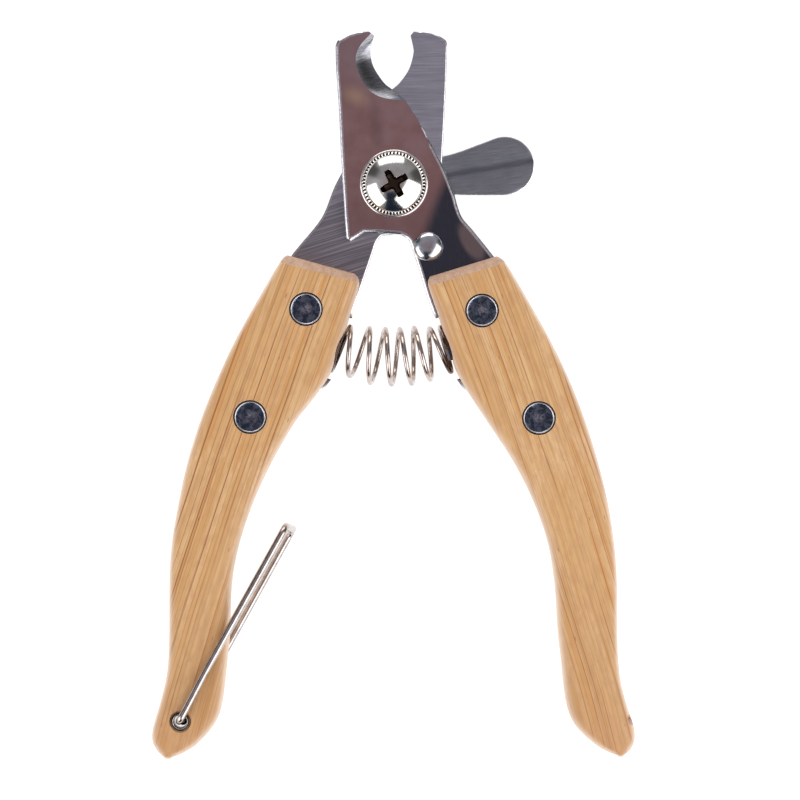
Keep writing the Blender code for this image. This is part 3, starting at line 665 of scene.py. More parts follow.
def screw_nickel():
    """Nickel plate, rougher down inside the cross recess and darkened there with painted shade."""
    m, g, p, (x, y, z), _ = start_material("screw_nickel")
    cloud = g.noise(p, 0.3, 3.0, 0.6)
    pits = g.noise(p, 4.5, 2.0, 0.5)
    r2 = g.add(g.mul(x, x), g.mul(y, y))
    depth = g.math("SUBTRACT", g.math("SUBTRACT", HEAD_TOP, g.mul(r2, 0.0535)), z)
    inside = g.mul(g.span(depth, 0.17, 0.30), g.span(r2, 11.9, 11.2))
    colour = g.mix(g.span(cloud, 0.42, 0.72), rgb(226, 222, 216), rgb(202, 198, 194))
    colour = g.mix(g.span(pits, 0.66, 0.74, 0.0, 0.4), colour, rgb(150, 142, 132))
    # Painted shade down inside the cross recess
    colour = g.mix(inside, colour, rgb(70, 58, 50))
    end_material(g, colour, g.add(0.09, g.mul(cloud, 0.07), g.mul(inside, 0.16)), 1.0,
                 g.add(g.mul(cloud, 0.6), g.mul(pits, 0.4)), 0.006)
    return m


def eyelet_metal():
    """Blackened brass, with a bright ring on its inner lip."""
    m, g, p, (x, y, z), _ = start_material("eyelet_metal")
    cloud = g.noise(p, 0.9, 3.0, 0.6)
    dx, dy = g.math("SUBTRACT", x, EYELET[0]), g.math("SUBTRACT", y, EYELET[1])
    r = g.math("SQRT", g.add(g.mul(dx, dx), g.mul(dy, dy)))
    lip = g.mul(g.span(r, 1.40, 1.46), g.span(r, 1.64, 1.56))
    colour = g.mix(lip, g.mix(g.span(cloud, 0.4, 0.7), rgb(52, 46, 42), rgb(84, 76, 70)),
                   rgb(222, 214, 206))
    end_material(g, colour, g.add(0.2, g.mul(cloud, 0.15)), 1.0, cloud, 0.006)
    return m


def washer_nickel():
    """Nickel plate, darker in the valleys between the serrations."""
    m, g, p, (x, y, z), _ = start_material("washer_nickel")
    cloud = g.noise(p, 0.8, 3.0, 0.6)
    r = g.math("SQRT", g.add(g.mul(x, x), g.mul(y, y)))
    ring = g.mul(g.span(r, 5.6, 5.9), g.span(r, 6.56, 6.48))
    low = g.span(z, 10.89, 10.84)
    colour = g.mix(g.mul(ring, low, 0.92), rgb(236, 232, 228), rgb(52, 47, 41))
    end_material(g, colour, g.add(0.12, g.mul(cloud, 0.1)), 1.0, cloud, 0.004)
    return m


def rivet_face():
    """Blackened rivet heads, their mottled blue-black also a painted reflection of the dim room above,
    with a greyish spot in the middle.
    """
    m, g, p, (x, y, z), _ = start_material("rivet_face")
    cloud = g.noise(p, 0.9, 4.0, 0.65, 0.6)
    spots = g.noise(p, 2.6, 3.0, 0.6)
    # Painted reflection: the blue-black stands in for the dim room above, on top of the blackening
    colour = g.mix(g.span(cloud, 0.40, 0.66), rgb(58, 74, 94), rgb(116, 126, 146))
    colour = g.mix(g.span(spots, 0.55, 0.7, 0.0, 0.45), colour, rgb(146, 142, 152))
    grey_middle = None
    for at in RIVETS.values():
        b = g.blob(x, y, at[0] + 0.1, at[1] + 0.1, 1.9, 1.7)
        grey_middle = b if grey_middle is None else g.math("MAXIMUM", grey_middle, b)
    grey_middle = g.mul(grey_middle, g.span(spots, 0.35, 0.6))
    colour = g.mix(g.mul(grey_middle, 0.8), colour, rgb(178, 176, 190))
    end_material(g, colour, g.add(0.16, g.mul(cloud, 0.22), g.mul(grey_middle, 0.12)), 1.0,
                 g.add(cloud, g.mul(spots, 0.6)), 0.03)
    return m


def wire(name, tint, low, ends=None):
    """Drawn wire, with faint lines and a little handling wear. ends is how far out from the
    middle its end turns begin, which painted shade darkens."""
    m, g, p, (x, y, z), _ = start_material(name)
    cloud = g.noise(p, 0.5, 3.0, 0.6)
    fine = g.noise(p, 6.0, 2.0, 0.6)
    colour = g.mix(g.span(cloud, 0.4, 0.7), rgb(*tint), rgb(*(c * 0.86 for c in tint)))
    colour = g.mix(g.span(fine, 0.6, 0.75, 0.0, 0.3), colour, rgb(140, 126, 116))
    if ends:
        # Painted shade on the end turns, where they sit against the handles
        colour = g.mix(g.mul(g.span(g.math("ABSOLUTE", x), ends - 0.5, ends + 0.5), 0.95), colour,
                       rgb(76, 56, 48))
    end_material(g, colour, g.add(low, g.mul(fine, 0.08)), 1.0, fine, 0.004)
    return m


BAMBOO_L = bamboo("bamboo_left", -1, 3.7)
BAMBOO_R = bamboo("bamboo_right", 1, 11.3)
FRONT = front_steel()
REAR = rear_steel()
GUARD = guard_steel()
EDGE = edge_steel()
GRIND = grind_steel()
NICKEL = nickel()
SCREW = screw_nickel()
WASHER = washer_nickel()
STOP_STEEL = nickel("stop_steel", (206, 208, 214), 0.14, 0.6)
RIVET_FACE = rivet_face()
RIVET_RIM = nickel("rivet_rim", (240, 234, 230), 0.34, 0.7)
SPRING_WIRE = wire("spring_wire", (206, 194, 188), 0.09, 9.8)
BAIL_WIRE = wire("bail_wire", (206, 198, 194), 0.14)
EYELET_METAL = eyelet_metal()


# ---------------------------------------------------------------- handles
def half_thickness(y):
    t = min(max((y - TAPER_FROM) / (TAPER_TO - TAPER_FROM), 0), 1)
    t = t * t * (3 - 2 * t)
    return HANDLE_HALF + (TAIL_HALF - HANDLE_HALF) * t


def handle_section(o, i, h, r_outer, r_inner, lead=0.0):
    """A rounded cross-section between an outer and an inner point."""
    (xo, yo), (xi, yi) = o, i
    width = math.hypot(xi - xo, yi - yo)
    ux, uy = (xi - xo) / width, (yi - yo) / width
    flat, side = (0.03, 0.10, 0.28, 0.5, 0.72, 0.90, 0.97), (0.12, 0.5, 0.88)
    pts = []
    corners = ((1, -1, -90), (1, 1, 0), (-1, 1, 90), (-1, -1, 180))
    for sx, sz, start in corners:
        r = min(r_inner if sx > 0 else r_outer, width * 0.44, h * 0.44)
        cx, cz = width / 2 + sx * (width / 2 - r), sz * (h - r)
        for k in range(8):
            t = math.radians(start + 90 * k / 7)
            pts.append((cx + r * math.cos(t), cz + r * math.sin(t)))
        pts.append(None)
    run = []
    for k, q in enumerate(pts):
        if q is not None:
            run.append(q)
            continue
        a, b = pts[k - 1], pts[(k + 1) % len(pts)]
        for f in (side if abs(a[0] - b[0]) < abs(a[1] - b[1]) else flat):
            run.append((a[0] + (b[0] - a[0]) * f, a[1] + (b[1] - a[1]) * f))
    return [(xo + ux * a - uy * lead, yo + uy * a + ux * lead, HANDLE_MID_Z + b) for a, b in run]


def handle_body(outer, inner, sign):
    far = 110.0
    marks = [0.0, 0.12, 0.35, 0.75, 1.2, 1.6, 1.95, 2.12, 2.28, 2.5, 2.9, 3.5]
    n = 190
    marks += [3.5 + (far - 3.5) * k / n for k in range(1, n + 1)]
    even = [s / far for s in marks]
    a, b = resample(smooth(outer, 10), even), resample(smooth(inner, 10), even)
    rings = []
    for s, o, i in zip(marks, a, b):
        h = half_thickness((o[1] + i[1]) / 2)
        h -= 1.85 * max(0.0, 1 - s / END_CHAMFER)
        if s < 0.3:
            h -= 0.25 * (1 - s / 0.3) ** 1.5
        if s > 97:
            h -= 2.0 * ((s - 97) / 13) ** 1.9
        soft = step(0, 6, s)
        rings.append(handle_section(o, i, h, 1.2 + 0.6 * soft, 1.3 + 1.1 * soft))
    # A rounded nose closes the tail
    last = rings[-1]
    mid = Vector((sum(p[0] for p in last), sum(p[1] for p in last), sum(p[2] for p in last)))
    mid /= len(last)
    for keep, push in ((0.93, 0.13), (0.80, 0.25), (0.60, 0.35), (0.38, 0.41),
                       (0.17, 0.44)):
        rings.append([(mid.x + (q[0] - mid.x) * keep, mid.y + (q[1] - mid.y) * keep - push,
                       mid.z + (q[2] - mid.z) * keep) for q in last])
    bm = bmesh.new()
    loft(bm, rings)
    return bm


def seat_edge(side, angle, peg_angle):
    run = [(29.1, 17.3), (29.1, angle), (33.1, angle), (33.1, peg_angle + 0.6), (33.6, peg_angle),
           (37.8, peg_angle), (38.3, peg_angle + 0.6), (38.3, angle), (42.4, angle), (42.4, 17.8)]
    return [(side * x, y) for x, y in (polar(r, a) for r, a in run)]


def front_outlines(steps=10, per=2):
    """Back-face and front-face outline of the front blade, clockwise from the jaw's tip."""
    even = [k / steps for k in range(steps + 1)]
    edge = resample(smooth(FRONT_EDGE, 8), even)
    grind = resample(smooth(FRONT_GRIND, 8), even)
    rest = (
        smooth([(5.0, 13.1), (7.9, 7.9), (10.2, 3.4), (12.4, -2.1), (13.1, -4.5), (14.1, -7.0),
                (16.2, -9.5), (18.4, -12.2), (20.6, -15.0)], per)
        + smooth([(22.9, -19.2), (25.8, -25.0), (28.8, -32.0), (31.8, -39.5), (34.0, -46.0),
                  (34.6, -50.0), (33.6, -53.4), (30.4, -54.6), (27.2, -52.8), (23.5, -49.0),
                  (19.5, -45.6), (16.6, -44.0), (14.0, -41.9)], per)
        + seat_edge(1, RIGHT_SEAT, 17.1)[::-1]
        + smooth([(7.9, -26.4), (6.5, -22.3), (5.3, -18.2), (3.8, -13.6), (3.0, -11.6),
                  (1.3, -10.5)], per)
        + [(-2.5, -10.2), (-6.1, -10.1), (-9.0, -11.9)]
        + smooth([(-9.8, -11.3), (-10.2, -6.4), (-11.0, 7.0), (-11.4, 15.3), (-12.0, 23.9)], per)
        + smooth([(-12.1, 28.4), (-11.6, 29.5), (-10.4, 30.3), (-9.0, 31.0), (-6.9, 31.5),
                  (-5.2, 31.4)], per)
    )
    return edge + rest, grind + rest


def rear_outlines(steps=10, per=2):
    """Back-face and front-face outline of the rear blade, anticlockwise from the tip."""
    even = [k / steps for k in range(steps + 1)]
    edge = resample(smooth(REAR_EDGE, 8), even)
    grind = resample(smooth(REAR_GRIND, 8), even)
    rest = (
        smooth([(-5.6, 13.1), (-8.4, 7.9), (-10.5, 2.9), (-12.4, -0.9), (-14.3, -5.8),
                (-15.9, -8.4), (-18.9, -12.0), (-20.9, -14.4)], per)
        + smooth([(-23.2, -18.6), (-26.2, -25.0), (-29.2, -32.0), (-32.2, -39.5),
                  (-34.2, -46.0), (-34.6, -50.0), (-33.4, -53.3), (-30.2, -54.4),
                  (-27.0, -52.6), (-23.3, -48.9), (-19.4, -45.5), (-16.6, -43.8),
                  (-14.0, -41.7)], per)
        + seat_edge(-1, LEFT_SEAT, 18.4)[::-1]
        + smooth([(-8.6, -26.4), (-7.1, -22.3), (-5.7, -18.2), (-4.4, -14.4), (-3.6, -12.0),
                  (-2.6, -10.7)], per)
        + [(1.0, -10.3), (6.1, -10.1), (9.0, -11.9)]
        + smooth([(9.5, -11.3), (9.7, -5.0), (9.9, 3.5), (10.4, 12.8), (10.8, 21.5)], per)
        + smooth([(11.0, 28.6), (10.7, 29.6), (9.6, 30.4), (8.4, 30.9), (6.8, 31.4),
                  (4.1, 31.5)], per)
    )
    return grind + rest, edge + rest


def plate(outline, z):
    bm = bmesh.new()
    if area(outline) < 0:
        outline = outline[::-1]
    loft(bm, [[(x, y, z[0]) for x, y in outline], [(x, y, z[1]) for x, y in outline]])
    return bm


def rivet_bore(at):
    return turned(at, [(0, -1), (4.0, -1), (3.56, 0.0), (3.45, 0.12), (3.43, 1.7), (2.3, 1.7),
                       (2.3, 13.3), (3.43, 13.3), (3.45, 14.88), (3.56, 15.0), (4.0, 16), (0, 16)],
                  72)


for side, body, outer, inner, blade, finish in (
        ("left", "frame", LEFT_OUTER, LEFT_INNER, rear_outlines()[0], BAMBOO_L),
        ("right", "arm", RIGHT_OUTER, RIGHT_INNER, front_outlines()[0], BAMBOO_R)):
    sign = -1 if side == "left" else 1
    z = REAR_Z if side == "left" else FRONT_Z
    seat = LEFT_SEAT if side == "left" else RIGHT_SEAT
    handle = to_object("bamboo_" + side, handle_body(outer, inner, sign), [finish])
    tang = [p for p in blade if sign * p[0] > 12.0 and p[1] < -7.0 and
            sign * p[0] > 0.38 * -p[1] + (2.5 if p[1] > -41 else -4.0)]
    ring = [(sign * 14.0, -6.0)] + tang + [polar(42.5, sign * 14.0), polar(14.0, sign * 14.0)]
    if area(ring) < 0:
        ring = ring[::-1]
    tools = [plate(offset(ring, SLOT_GAP), (z[0] - SLOT_GAP, z[1] + SLOT_GAP))]
    bm = bmesh.new()
    centre, d = Vector((*polar(SPRING_ARC, sign * seat), HANDLE_MID_Z)), math.radians(seat)
    along = Vector((-sign * math.cos(d), -math.sin(d), 0))
    across = Vector((-along.y, along.x, 0))
    loft(bm, [[centre + along * u + r * (math.cos(TAU * k / 64) * across
                                         + math.sin(TAU * k / 64) * Vector((0, 0, 1)))
               for k in range(64)]
              for u, r in ((0.0, SEAT_HOLE_R - 0.3), (0.3, SEAT_HOLE_R), (6.0, SEAT_HOLE_R))])
    tools.append(bm)
    tools += [rivet_bore(RIVETS[f"{side}_{level}"]) for level in ("upper", "lower")]
    if side == "left":
        top, bottom = HANDLE_MID_Z + TAIL_HALF, HANDLE_MID_Z - TAIL_HALF
        tools.append(turned(EYELET, [(0, -1), (2.25, -1), (2.25, bottom + 0.65),
                                     (1.85, bottom + 0.65), (1.85, top - 0.65),
                                     (2.25, top - 0.65), (2.25, 16), (0, 16)], 48))
    else:
        # A small nick in the tail's outer edge
        nick = bmesh.new()
        loft(nick, [[(49.6 + u, -110.2 + 1.8 * v * f, zz) for u, v in
                     ((0, -0.55), (-0.9, -0.34), (-1.5, 0.0), (-1.2, 0.3), (0, 0.5), (0.6, 0.0))]
                    for zz, f in ((9.0, 0.2), (11.0, 0.7), (13.5, 1.0))])
        tools.append(nick)
    carve(handle, tools)
    place(handle, body, [side + "_handle"], 32, True)


# ---------------------------------------------------------------- blades
def blade_body(back, front, z, jaw, hollow, low=0.15, high=0.30):
    """A stamped blade with softened edges and a hollow-ground jaw. jaw is the number of steps
    along the cutting edge, and hollow is the level's share that the ground face has reached."""
    if area(back) < 0:
        back, front = back[::-1], front[::-1]
        flip = True
    else:
        flip = False
    n = len(back)
    is_jaw = [(n - 1 - i if flip else i) <= jaw for i in range(n)]
    thick = z[1] - z[0]
    # The softened edge fades out next to the jaw and where a corner is too tight for it
    room = []
    for i in range(n):
        ends = []
        for way in (-1, 1):
            j, run = i, 0.0
            while run < 0.8:
                run += math.dist(back[j % n], back[(j + way) % n])
                j += way
            ends.append((j, run))
        (j, before), (k, after) = ends
        a = Vector(back[(j + 1) % n]) - Vector(back[j % n])
        b = Vector(back[k % n]) - Vector(back[(k - 1) % n])
        bend = math.atan2(a.cross(b), a.dot(b))
        tight = 0.6 * min(before + after, 1.6) / bend if bend > 0.05 else 9.0
        from_jaw = min(math.dist(back[i], back[k]) for k in range(n) if is_jaw[k])
        room.append(0.0 if is_jaw[i] else min(tight, 0.25 * from_jaw))
    room = [min(room[(i + k) % n] + 0.05 * abs(k) for k in range(-8, 9)) for i in range(n)]
    turn = [math.pi / 2 * k / 4 for k in range(5)]
    marks = ([(low * (1 - math.cos(a)), low * (1 - math.sin(a))) for a in turn]
             + [(thick * f, 0.0) for f in (0.2, 0.35, 0.5, 0.62, 0.74)]
             + [(thick - 0.6 * high * (1 - math.cos(a)), high * (1 - math.sin(a)))
                for a in turn[::-1]])
    rings = []
    for q, d in marks:
        f = hollow(q / thick)
        line = [(a[0] + (b[0] - a[0]) * f, a[1] + (b[1] - a[1]) * f) if on else a
                for a, b, on in zip(back, front, is_jaw)]
        line = offset(line, [0.0 if on else -min(d, r) for on, r in zip(is_jaw, room)])
        rings.append([(x, y, z[0] + q) for x, y in line])
    bm = bmesh.new()

    def pick(_, i):
        return 2 if is_jaw[i] and is_jaw[(i + 1) % n] else 1

    loft(bm, rings, mats=pick)
    return bm


def ground(t):
    """How far the ground face has run out at height t above the cutting edge."""
    return (-0.45 + math.sqrt(0.2025 + 2.2 * t)) / 1.1


STEPS = 44
back, front = front_outlines(STEPS, 8)
blade = to_object("front_blade_steel", blade_body(back, front, FRONT_Z, STEPS, ground, 0.15, 0.75),
                  [FRONT, EDGE, GRIND])
carve(blade, [turned((0, 0), [(0, 7), (PIVOT_HOLE_R, 7), (PIVOT_HOLE_R, 10.5), (0, 10.5)]),
              turned(STOP, [(0, 7), (2.05, 7), (2.05, 10.5), (0, 10.5)])]
      + [turned(RIVETS[k], [(0, 7), (2.3, 7), (2.3, 10.5), (0, 10.5)])
         for k in ("right_upper", "right_lower")])
place(blade, "arm", ["front_blade"], 28, True)

back, front = rear_outlines(STEPS, 8)
blade = to_object("rear_blade_steel", blade_body(back, front, REAR_Z, STEPS,
                                                 lambda t: 1 - ground(1 - t), 0.15, 0.4),
                  [REAR, EDGE, GRIND])
carve(blade, [turned((0, 0), [(0, 4.5), (PIVOT_HOLE_R, 4.5), (PIVOT_HOLE_R, 8), (0, 8)])]
      + [turned(RIVETS[k], [(0, 4.5), (2.3, 4.5), (2.3, 8), (0, 8)])
         for k in ("left_upper", "left_lower")])
place(blade, "frame", ["rear_blade"], 28, True)

# ---------------------------------------------------------------- pivot
sag, dome_r = HEAD_TOP - HEAD_Z - 0.5, 5.95
ball = (dome_r ** 2 + sag ** 2) / (2 * sag)
reach = math.asin(dome_r / ball)


def dome_z(r):
    return HEAD_TOP - ball + math.sqrt(ball * ball - min(r, dome_r) ** 2)


profile = [(0, HEAD_TOP)]
profile += [(ball * math.sin(reach * k / 26) * (0.985 if k == 26 else 1), dome_z(
    ball * math.sin(reach * k / 26))) for k in range(1, 27)]
profile += [(dome_r, HEAD_Z + 0.42), (dome_r, HEAD_Z + 0.1), (dome_r - 0.1, HEAD_Z),
            (PIVOT_R, HEAD_Z), (PIVOT_R, 0.45), (PIVOT_R - 0.1, 0.28), (PIVOT_R - 0.45, 0.02),
            (PIVOT_R - 0.55, 0.0), (0.9, 0.0), (0.7, 0.12), (0, 0.2)]
screw = to_object("pivot_screw_nickel", turned((0, 0), profile, 112), [SCREW])
bm = bmesh.new()
rings = []
wing = [(1.0, -0.70), (2.1, -0.66), (2.78, -0.62), (2.95, -0.46), (2.95, 0.46), (2.78, 0.62),
        (2.1, 0.66), (1.0, 0.70)]
for depth, level, grow, keep in ((0.0, 15.2, 0.19, 1.0), (0.04, None, 0.19, 1.0),
                                 (-0.13, None, 0.03, 1.0), (-0.9, None, -0.02, 0.90),
                                 (-1.6, None, -0.06, 0.72), (0.0, 11.45, -0.1, 0.42)):
    ring = []
    for k in range(4):
        a = math.radians(30 + 90 * k)
        c, s = math.cos(a), math.sin(a)
        for u, v in wing:
            near = u < 1.5
            uu = u * (0.6 + 0.4 * keep) if near else u * keep + grow
            vv = math.copysign(max(abs(v) * (0.5 + 0.5 * keep) + grow, 0.1), v)
            zz = dome_z(math.hypot(u, v)) + depth if level is None else level
            ring.append((uu * c - vv * s, uu * s + vv * c, zz))
    rings.append(ring)
loft(bm, rings)
carve(screw, [bm])
place(screw, "frame", ["pivot_screw"], 30, True)

# Washer with radial serrations showing round the head
TEETH, FINE = 56, 10
bm = bmesh.new()
rings = []
for k in range(TEETH * FINE):
    a = TAU * k / (TEETH * FINE)
    f = (k % FINE) / FINE
    away = abs(f - 0.5) * TAU * 6.2 / TEETH
    ridge = 0.6 * away if away < 0.19 else min(0.114 + 1.8 * (away - 0.19), 0.32)
    worn = 0.06 * (noise.noise(Vector((5 * math.cos(a), 5 * math.sin(a), 3.0))) > 0.22)
    valley = WASHER_Z[1] - ridge - worn
    run = [(3.35, WASHER_Z[1] - 0.1), (3.45, WASHER_Z[1]), (5.7, WASHER_Z[1]),
           (5.82, valley), (6.15, valley), (6.44, valley), (6.54, WASHER_Z[1] - 0.02),
           (6.66, WASHER_Z[1]), (6.88, WASHER_Z[1] - 0.05), (6.98, WASHER_Z[1] - 0.17),
           (7.0, WASHER_Z[1] - 0.35), (7.0, WASHER_Z[0] + 0.1), (6.92, WASHER_Z[0]),
           (3.35, WASHER_Z[0])]
    lean = 0.012
    rings.append([(r * math.cos(a + lean * (r - 6.2)), r * math.sin(a + lean * (r - 6.2)), zz)
                  for r, zz in run])
verts = [[bm.verts.new(p) for p in ring] for ring in rings]
for k in range(len(verts)):
    a, b = verts[k], verts[(k + 1) % len(verts)]
    for i in range(len(a)):
        j = (i + 1) % len(a)
        bm.faces.new((a[i], a[j], b[j], b[i]))
washer = to_object("serrated_washer_nickel", bm, [WASHER])
place(washer, "frame", ["serrated_washer"], 40)

bm = bmesh.new()
verts = []
for k in range(120):
    a = TAU * k / 120
    zz = WAVE_Z + 0.1 * math.sin(3 * a)
    verts.append([bm.verts.new((r * math.cos(a), r * math.sin(a), zz + dz))
                  for r, dz in ((5.44, 0.17), (5.5, 0.11), (5.5, -0.11), (5.44, -0.17),
                                (3.41, -0.17), (3.35, -0.11), (3.35, 0.11), (3.41, 0.17))])
for k in range(120):
    a, b = verts[k], verts[(k + 1) % 120]
    for i in range(8):
        j = (i + 1) % 8
        bm.faces.new((a[i], a[j], b[j], b[i]))
wave = to_object("wave_washer_nickel", bm, [NICKEL])
place(wave, "frame", ["wave_washer"], 40)

# Hexagon nut, chamfered on both faces
bm = bmesh.new()
verts = []
SIDES = 144
for k in range(SIDES):
    deg = 360 * k / SIDES
    off = math.radians((deg - 15 + 30) % 60 - 30)
    hexa = 5.0 / math.cos(math.radians(30) - abs(off))
    hexa = min(hexa, 5.72)
    a = math.radians(deg)
    cut = max(0.0, hexa - 5.02) * math.tan(math.radians(30))
    run = [(3.3, NUT_Z[0] + 0.35), (3.62, NUT_Z[0]), (4.95, NUT_Z[0]), (hexa, NUT_Z[0] + 0.03 + cut),
           (hexa, NUT_Z[0] + 0.5 + cut), (hexa, NUT_Z[1] - 0.5 - cut),
           (hexa, NUT_Z[1] - 0.03 - cut), (4.95, NUT_Z[1]), (3.62, NUT_Z[1]),
           (3.3, NUT_Z[1] - 0.35)]
    verts.append([bm.verts.new((r * math.cos(a), r * math.sin(a), zz)) for r, zz in run])
for k in range(SIDES):
    a, b = verts[k], verts[(k + 1) % SIDES]
    for i in range(len(a)):
        j = (i + 1) % len(a)
        bm.faces.new((a[i], a[j], b[j], b[i]))
nut = to_object("pivot_nut_nickel", bm, [NICKEL])
place(nut, "frame", ["pivot_nut"], 25)

# ---------------------------------------------------------------- nail guard
paddle = [(22.9 + 6.1 * math.cos(math.radians(a)), 3.75 + 6.1 * math.sin(math.radians(a)))
          for a in range(-85, 116, 5)]
hub = [(7.0 * math.cos(math.radians(a)), 7.0 * math.sin(math.radians(a)))
       for a in range(62, 322, 5)]
outline = (smooth([(7.2, -2.8), (9.6, -2.5), (12.1, -2.3), (17.0, -2.35), paddle[0]], 6)[6:-1]
           + paddle + smooth([(20.2, 9.25), (16.4, 7.8), (13.1, 6.6), (10.0, 5.8), (6.5, 5.4)], 6)[6:-1]
           + hub + [(7.2, -2.8), (8.0, -2.7)])
bm = bmesh.new()
if area(outline) < 0:
    outline = outline[::-1]
c = 0.28
loft(bm, [[(x, y, zz) for x, y in offset(outline, -d)]
          for zz, d in ((GUARD_Z[0], c), (GUARD_Z[0] + 0.3 * c, 0.3 * c), (GUARD_Z[0] + c, 0.0),
                        (GUARD_Z[1] - c, 0.0), (GUARD_Z[1] - 0.3 * c, 0.3 * c), (GUARD_Z[1], c))],
     mats=lambda k, i: 1)
guard = to_object("nail_guard_steel", bm, [GUARD, EDGE])
groove = bmesh.new()
a = math.radians(9.7)
co, si = math.cos(a), math.sin(a)
section = [(-1.5, 0.4), (-1.3, 0.006), (-1.0, -0.02), (-0.6, -0.04), (-0.25, -0.065), (0.0, -0.075),
           (0.25, -0.065), (0.6, -0.04), (1.0, -0.02), (1.3, 0.006), (1.5, 0.4)]
loft(groove, [[(u * co - v * si, u * si + v * co, GUARD_Z[1] + h) for v, h in section]
              for u in (7.5, 30.0)])
carve(guard, [turned((0, 0), [(0, 3.5), (3.3, 3.5), (3.3, 5.6), (0, 5.6)]), groove])
place(guard, "guard", ["nail_guard"], 30, True)

# ---------------------------------------------------------------- stop and rivets
profile = [(0, 11.55)]
profile += [(3.1 * math.sin(t), 9.98 + 1.57 * math.cos(t) ** 0.9)
            for t in (math.pi / 2 * k / 22 for k in range(1, 22))]
profile += [(3.1, 10.03), (3.06, 9.95), (1.75, 9.95), (1.75, 5.6), (1.45, 5.3), (0, 5.3)]
stop = to_object("stop_rivet_nickel", turned(STOP, profile, 80), [STOP_STEEL])
place(stop, "arm", ["stop_rivet"], 35)


def rivet_profile(face, under, up):
    """From the middle of a rivet's face out over its rim. up is 1 for a head on top."""
    run = [(0, face - 0.16 * up)]
    run += [(2.88 * k / 9, face - up * (0.16 - 0.04 * (k / 9) ** 2)) for k in range(1, 10)]
    run += [(2.96, face - 0.06 * up), (3.02, face - 0.01 * up), (3.07, face), (3.12, face),
            (3.21, face - 0.06 * up), (3.27, face - 0.16 * up), (3.3, face - 0.3 * up),
            (3.3, under)]
    return run


def hammer(bm, centre, top, seed):
    """Slightly uneven faces, as a rivet set leaves them."""
    for v in bm.verts:
        r = math.hypot(v.co.x - centre[0], v.co.y - centre[1])
        if r < 2.90 and abs(v.co.z - top) < 0.3:
            v.co.z += 0.045 * noise.noise(Vector((v.co.x * 1.1, v.co.y * 1.1, seed)))


for i, (key, at) in enumerate(RIVETS.items()):
    side, body = key.split("_")[0], "frame" if key.startswith("left") else "arm"
    head = rivet_profile(14.6, 13.6, 1)
    tube = head + [(1.95, 13.6), (1.95, 6.0), (1.5, 6.0), (1.5, 12.4), (0, 12.4)]
    mats = [0] * 10 + [1] * (len(tube) - 10)
    bm = turned(at, tube, 72, mats)
    hammer(bm, at, 14.45, 2.0 + i)
    piece = to_object(key + "_rivet_head", bm, [RIVET_FACE, RIVET_RIM])
    place(piece, body, [key + "_rivet_front"], 38)
    head = rivet_profile(0.4, 1.4, -1)
    pin = head + [(1.15, 1.4), (1.15, 11.5), (0.9, 11.8), (0, 11.8)]
    bm = turned(at, pin, 72, [0] * 10 + [1] * (len(pin) - 10))
    hammer(bm, at, 0.55, 12.0 + i)
    piece = to_object(key + "_rivet_pin", bm, [RIVET_FACE, RIVET_RIM])
    place(piece, body, [key + "_rivet_back"], 38)

# ---------------------------------------------------------------- spring
TURNS = [(-1.0, -19.5), (-0.5, -18.6), (0.0, -17.2), (0.5, -12.9), (1.0, -9.7), (1.5, -6.8),
         (2.0, -3.4), (2.5, -0.7), (3.0, 2.3), (3.5, 5.1), (4.0, 7.9), (4.5, 10.5), (5.0, 13.8),
         (5.5, 17.1), (6.25, 18.0)]


def spring_angle(n):
    for (n0, a0), (n1, a1) in zip(TURNS, TURNS[1:]):
        if n <= n1:
            return a0 + (a1 - a0) * (n - n0) / (n1 - n0)
    return TURNS[-1][1]


path, stations = [], []
steps = round(7.25 * 52)
for k in range(steps + 1):
    n = -1.0 + 7.25 * k / steps
    taps = [sum(spring_angle(min(max(n + d + e, -1.0), 6.25)) for d in (-0.12, 0, 0.12)) / 3
            for e in (-0.04, -0.02, 0.0, 0.02, 0.04)]
    deg = sum(taps) / len(taps)
    a, turn = math.radians(deg), TAU * n
    # The turns grow narrower towards both ends
    coil = SPRING_R * (1 - 0.14 * (1 - step(0.3, 1.3, n)) - 0.14 * step(4.0, 5.2, n)
                       - 0.05 * step(5.2, 6.2, n))
    r = SPRING_ARC - coil * math.cos(turn)
    path.append((r * math.sin(a), -r * math.cos(a), HANDLE_MID_Z + coil * math.sin(turn)))
    stations.append((n, deg))
bm, ring_count = sweep(path, WIRE_R, 18)
spring = to_object("coil_spring_wire", bm, [SPRING_WIRE])
shade(spring, 50)
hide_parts("return_spring")
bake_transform(spring)
# Each ring of the wire gets a share of the motion, worked out so that at full squeeze the
# turns would lie evenly side by side between the two seats. Nothing uses these shares.
SQUEEZE = 24.5
begin, finish = stations[0][1], stations[-1][1] - SQUEEZE
stations = [stations[0]] * 2 + stations + [stations[-1]] * 2
weights = []
for n, deg in stations:
    closed = begin + (finish - begin) * (n + 1.0) / 7.25
    weights += [min(max((deg - closed) / SQUEEZE, 0.0), 1.0)] * 18

# ---------------------------------------------------------------- latch
a = math.radians(BAIL_ANGLE)
along, left = Vector((math.cos(a), math.sin(a), 0)), Vector((-math.sin(a), math.cos(a), 0))
lift = HANDLE_HALF - BAIL_R - 0.1
half_path = [(0, 3.2), (0, 4.0), (0, lift - 1.2)]
half_path += [(1.2 - 1.2 * math.cos(t), lift - 1.2 + 1.2 * math.sin(t))
              for t in (math.radians(9 * k) for k in range(1, 11))]
half_path += [(u, lift) for u in (3, 6, 10, 15, 20, 25, 30, 35, 39, 41.5, 42.8)]
end, bend = BAIL_REACH - BAIL_R, 2.2
half_path += [(end - bend + bend * math.sin(t), lift - bend + bend * math.cos(t))
              for t in (math.radians(7.5 * k) for k in range(13))]
half_path += [(end, lift - bend - 1.0), (end, lift - bend - 2.5)]


